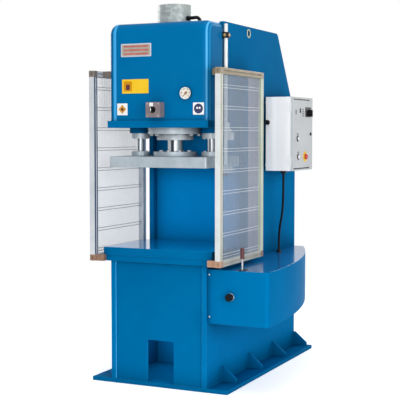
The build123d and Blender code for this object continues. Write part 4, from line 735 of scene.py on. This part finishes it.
# Seat of a bead beside its seam, on a gusset, and the bare ends of an upright, a flat and a long bead
SEAT, GUSSET_SEAT, BARE, GUSSET_BARE, LONG_BARE = 0.001, 0.002, 0.004, 0.004, 0.006
welds = Maker()
for side in SIDES:
    foot = side * (SIDE + SEAT)
    welds.bead((foot, FRONT + LONG_BARE, FLOOR + SEAT), (foot, REAR - LONG_BARE, FLOOR + SEAT), SIDE_BEAD, PAINT)
    for row in range(GUSSETS):
        for edge in (-GUSSET_HALF, GUSSET_HALF):
            y = FRONT + GUSSET_FIRST + row * GUSSET_PITCH + edge
            welds.bead((side * (SIDE + GUSSET_BARE), y, FLOOR + GUSSET_SEAT),
                       (side * (SIDE + GUSSET_REACH), y, FLOOR + GUSSET_SEAT), GUSSET_BEAD, PAINT)
            welds.bead((foot, y, FLOOR + BARE), (foot, y, FLOOR + GUSSET_RISE), GUSSET_BEAD, PAINT)
inner = SIDE - INSET
front_seam, rear_seam = FRONT + SHEET_BACK, REAR - SHEET_BACK
for side in SIDES:
    x = side * inner
    # Front corner beads take the painted highlight
    welds.bead((x, front_seam, FLOOR + BARE), (x, front_seam, PEDESTAL - BARE), FRONT_BEAD, BEAD_HIGHLIGHT_PAINT)
    welds.bead((x, rear_seam, FLOOR + BARE), (x, rear_seam, REAR_TOP), THIN_BEAD, PAINT)
for x0, x1, seam in ((-inner, OPENING_LEFT, front_seam), (OPENING_RIGHT, inner, front_seam),
                     (-inner, inner, rear_seam)):
    welds.bead((x0, seam, FLOOR + SEAT), (x1, seam, FLOOR + SEAT), THIN_BEAD, PAINT)
welds.done("frame_welds", "frame")

# ---- Guard sheets: upright strands and double cross wires of the mesh, a band at the right rear ----
GUARD_FRONT, GUARD_REAR = FRONT - 0.060, FRONT + 0.650
GUARD_LOW, GUARD_HIGH = 0.810, 2.050
GUARD_X = 0.450
BAR = 0.040
MESH_INNER, MESH_OUTER = 0.4474, 0.4526
WIRE_FIRST, WIRE_LAST, WIRE_PITCH, WIRE_PAIR = 0.8665, 2.0, 0.1326, 0.018
STRAND_MARGIN, STRAND_END_MARGIN, STRAND_PITCH = 0.012, 0.006, 0.0225
STRAND_WIDTH, STRAND_THICK = 0.0028, 0.0004
BAND_START, BAND_END, BAND_THICK = -0.373, -0.205, 0.0006
# The left mesh's dark wires and the right mesh's dimmer sheet and strands are painted shade
for side, name, finish, strand, wire in ((-1, "left", WIRE_SHADED, STRAND, 0.0024),
                                         (1, "right", WIRE, STRAND_SHADED, 0.0018)):
    wires = Maker()
    x0, x1 = sorted((side * MESH_INNER, side * MESH_OUTER))
    y0, y1 = GUARD_FRONT + BAR, GUARD_REAR - BAR
    z0, z1 = GUARD_LOW + BAR, GUARD_HIGH - BAR
    station = WIRE_FIRST
    while station < WIRE_LAST:
        for gap in (0.0, WIRE_PAIR):
            wires.box((x0, y0, station + gap), (x1, y1, station + gap + wire), finish, 0.0004)
        station += WIRE_PITCH
    place_y = y0 + STRAND_MARGIN
    while place_y < y1 - STRAND_END_MARGIN:
        for flat in (x0, x1 - STRAND_THICK):
            wires.box((flat, place_y, z0), (flat + STRAND_THICK, place_y + STRAND_WIDTH, z1), strand)
        place_y += STRAND_PITCH
    if side > 0:
        wires.box((x0 - BAND_THICK, BAND_START, z0), (x0, BAND_END, z1), BAND)
    wires.done(f"{name}_guard_mesh", "frame")

# ---- Guard frames: slotted posts and rails with their end screws ----
SLOT_OPENING, SLOT_DEPTH, SLOT_TAPER, SOFT_EDGE = 0.010, 0.0065, 0.002, 0.002
NEAR = 0.001
FACING = 0.5


def slotted(size):
    """Outline of a square profile with a slot in its left and right side, round the origin."""
    half, slot = size / 2, SLOT_OPENING / 2
    floor_u, floor_v = half - SLOT_DEPTH, slot - SLOT_TAPER
    right = [(half - SOFT_EDGE, -half), (half, -half + SOFT_EDGE), (half, -slot), (floor_u, -floor_v),
             (floor_u, floor_v), (half, slot), (half, half - SOFT_EDGE), (half - SOFT_EDGE, half)]
    return right + [(-u, -v) for u, v in right]


def bar_finish(centre, normal):
    """Finish of a guard bar's face by where it lies and faces; the darker aluminium copies and the slate are
    painted shade.
    """
    if centre.z > GUARD_HIGH - BAR - NEAR:
        if centre.x > 0:
            return BRONZE_RAIL
        return SHADE_SLATE if normal.z < -FACING else ALU_COOL_SHADED
    if centre.z < GUARD_LOW + BAR:
        return ALU_BEIGE
    if centre.y > GUARD_REAR - BAR - NEAR:
        if centre.x < 0:
            return ALU_COOL_SHADED
        return ALU_REAR_SHADED if normal.x > FACING or normal.y < -FACING else ALUMINIUM
    if centre.x > 0:
        return ALU_SHADE if normal.x > FACING else ALUMINIUM
    return SHADE_SLATE if abs(normal.x) > FACING else ALU_COOL_SHADED


END_SCREW, END_SCREW_X, END_SCREW_Y = (0.006, 0.0035), 0.4665, 0.0035
POSTS_Y = (GUARD_FRONT + BAR / 2, GUARD_REAR - BAR / 2)
RAILS_Z = (GUARD_LOW + BAR / 2, GUARD_HIGH - BAR / 2)
guard_bars = Maker()
for side in SIDES:
    for y in POSTS_Y:
        outline = [(side * GUARD_X + u, y + v, GUARD_LOW + BAR) for u, v in slotted(BAR)]
        guard_bars.prism(outline, (0, 0, GUARD_HIGH - GUARD_LOW - 2 * BAR), ALUMINIUM)
    for z in RAILS_Z:
        outline = [(side * GUARD_X + u, GUARD_FRONT + BAR, z + v) for u, v in slotted(BAR)]
        guard_bars.prism(outline, (0, GUARD_REAR - GUARD_FRONT - 2 * BAR, 0), ALUMINIUM)
bars = guard_bars.done("guard_frames", "frame", 20)
finish_faces(bars, bar_finish)
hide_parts("guard_profiles")
guards = Maker()
for side in SIDES:
    for z in RAILS_Z:
        for y in POSTS_Y:
            guards.socket_screw((side * END_SCREW_X, y, z), (side, 0, 0), *END_SCREW)
        guards.socket_screw((side * GUARD_X, GUARD_FRONT + END_SCREW_Y, z), -Y, *END_SCREW)
guards.done("guard_trim", "frame")

# ---- Screws under the head, on the platen, the stroke block and the trip dog ----
UNDER_HEAD, ON_PLATEN = 1.610, 1.524
HEAD_CIRCLE, COLLAR_CIRCLE, ROD_CIRCLE = 0.044, 0.047, 0.1
ROD_CIRCLE_START = 66 + 22.5
HEAD_SCREW, COLLAR_SCREW, ROD_SCREW = (0.0065, 0.005), (0.0065, 0.006), (0.010, 0.009)
DOG_BOLT, BLOCK_BOLT = (0.008, 0.007), (0.009, 0.007)
DOG_BOLT_X, DOG_END_Y = 0.374, -0.572
BLOCK_BOLT_X, BLOCK_BOLTS_Y = 0.372, (-0.574, -0.522)


def round_axis(middle_x, radius, degrees, height):
    """Place at an angle round an upright axis."""
    angle = math.radians(degrees)
    return Vector((middle_x + radius * math.cos(angle), AXIS_Y + radius * math.sin(angle), height))


head_screws = Maker()
ram_screws = Maker()
for guide_x in (-GUIDE_X, GUIDE_X):
    for k in range(6):
        head_screws.socket_screw(round_axis(guide_x, HEAD_CIRCLE, 30 + 60 * k, UNDER_HEAD), -Z, *HEAD_SCREW)
        ram_screws.socket_screw(round_axis(guide_x, COLLAR_CIRCLE, 60 * k, ON_PLATEN), Z, *COLLAR_SCREW)
head_screws.done("guide_screws", "frame")
for k in range(8):
    ram_screws.socket_screw(round_axis(0.0, ROD_CIRCLE, ROD_CIRCLE_START + 45 * k, ON_PLATEN), Z, *ROD_SCREW)
dog_low, dog_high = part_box("trip_dog")
dog_z = (dog_low.z + dog_high.z) / 2
ram_screws.hex_bolt((DOG_BOLT_X, dog_low.y, dog_z), -Y, *DOG_BOLT, BRASS)
ram_screws.lathe((dog_high.x, DOG_END_Y, dog_z), X, [(0.0, 0.0), (0.009, 0.0), (0.008, 0.006), (0.0, 0.006)],
                 BRASS, 24)
block_low, block_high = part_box("stroke_block")
block_z = (block_low.z + block_high.z) / 2
ram_screws.hex_bolt((BLOCK_BOLT_X, block_low.y, block_z), -Y, *BLOCK_BOLT)
for block_y in BLOCK_BOLTS_Y:
    ram_screws.hex_bolt((block_high.x, block_y, block_z), X, *BLOCK_BOLT)
ram_screws.done("platen_screws", "ram")

# ---- Power unit cover: edge screws, knob collar, lever slot's gasket; nuts of the three cable glands ----
COVER_SCREW, COVER_SCREW_X, COVER_SCREWS_Z = (0.006, 0.004), 0.354, (0.484, 0.753)
KNOB_X, KNOB_Z = 0.500, 0.618
COLLAR_INNER, COLLAR_OUTER, COLLAR_THICK = 0.0105, 0.0248, 0.004
LEVER_X, LEVER_Y, GASKET_SHIFT, GASKET_RISE = 0.565, -0.743, 0.012, 0.0050
SLOT_HOLE, SLOT_RIM = rounded(0.0186, 0.056, 0.009), rounded(0.034, 0.100, 0.012)
GLAND_BORE = 0.0132
# Seat, axis, radius and height of each nut
GLAND_NUTS = (
    ((0.479, 0.205, BOX_LOW.z), -Z, 0.0250, 0.014),
    ((0.400, 0.325, UNIT_HIGH.z), Z, 0.0200, 0.012),
    ((0.375, BOX_LOW.y, 1.721), -Y, 0.0190, 0.010),
)
unit = Maker()
for z in COVER_SCREWS_Z:
    unit.pan_screw((COVER_SCREW_X, UNIT_LOW.y, z), -Y, *COVER_SCREW)
unit.ring((KNOB_X, UNIT_LOW.y, KNOB_Z), -Y, COLLAR_INNER, COLLAR_OUTER, 0.0, COLLAR_THICK, SCREW, chamfer=0.001)
gasket = []
for outline, lift, shift in ((SLOT_HOLE, 0.0, 0.0), (SLOT_RIM, 0.0, GASKET_SHIFT),
                             (SLOT_RIM, GASKET_RISE, GASKET_SHIFT), (SLOT_HOLE, GASKET_RISE, 0.0)):
    gasket.append([(LEVER_X + u, LEVER_Y + v + shift, UNIT_HIGH.z + lift) for u, v in outline])
unit.loft(gasket, BLACK, closed=True)
for seat, axis, radius, height in GLAND_NUTS:
    unit.ring(seat, axis, GLAND_BORE, radius, 0.0, height, BLACK, 6, 0.002)
unit.done("unit_trim", "frame")

# ---- Enclosure door: rings and dark fields ----
def on_door(across, up):
    """Place on the door's face, from its lower corner on the operator's side."""
    return DOOR_HIGH.x, DOOR_LOW.y + across, DOOR_LOW.z + up


START, RESET = (0.097, 0.227), (0.109, 0.098)
door = Maker()
# Centre, inner and outer radius, height, finish, sides and chamfer
for centre, inner, outer, height, finish, sides, chamfer in (
    (START, 0.0146, 0.0215, 0.005, BLACK, 40, 0.001),
    (RESET, 0.0146, 0.0215, 0.005, BLACK, 40, 0.001),
    ((0.251, 0.097), 0.0108, 0.038, 0.0018, YELLOW, 48, 0.0004),
    ((0.357, 0.259), 0.0116, 0.0135, 0.003, SCREW, 32, 0.0005),
):
    door.ring(on_door(*centre), X, inner, outer, 0.0, height, finish, sides, chamfer)
MARK = (0.028, 0.008, 0.001)
# Centre; width, height and corner radius; thickness and chamfer
for centre, size, thick, chamfer in (
    ((0.060, 0.413), (0.014, 0.034, 0.002), 0.0008, 0.0003),
    ((0.150, 0.425), (0.030, 0.034, 0.002), 0.0008, 0.0003),
    ((0.178, 0.0150), (0.335, 0.0085, 0.001), 0.0004, 0.0),
    ((0.178, 0.5030), (0.335, 0.0085, 0.001), 0.0004, 0.0),
    ((0.205, 0.390), (0.026, 0.007, 0.001), 0.0006, 0.0002),
    ((0.205, 0.405), (0.026, 0.007, 0.001), 0.0006, 0.0002),
    ((0.205, 0.420), (0.026, 0.007, 0.001), 0.0006, 0.0002),
    ((0.205, 0.435), (0.026, 0.007, 0.001), 0.0006, 0.0002),
    ((0.315, 0.417), (0.120, 0.070, 0.004), 0.0030, 0.0012),
    ((0.109, 0.130), MARK, 0.0006, 0.0002),
    ((0.097, 0.260), MARK, 0.0006, 0.0002),
):
    door.side_plate(on_door(*centre), size, thick, BLACK, chamfer)
door.done("door_trim", "door_body")
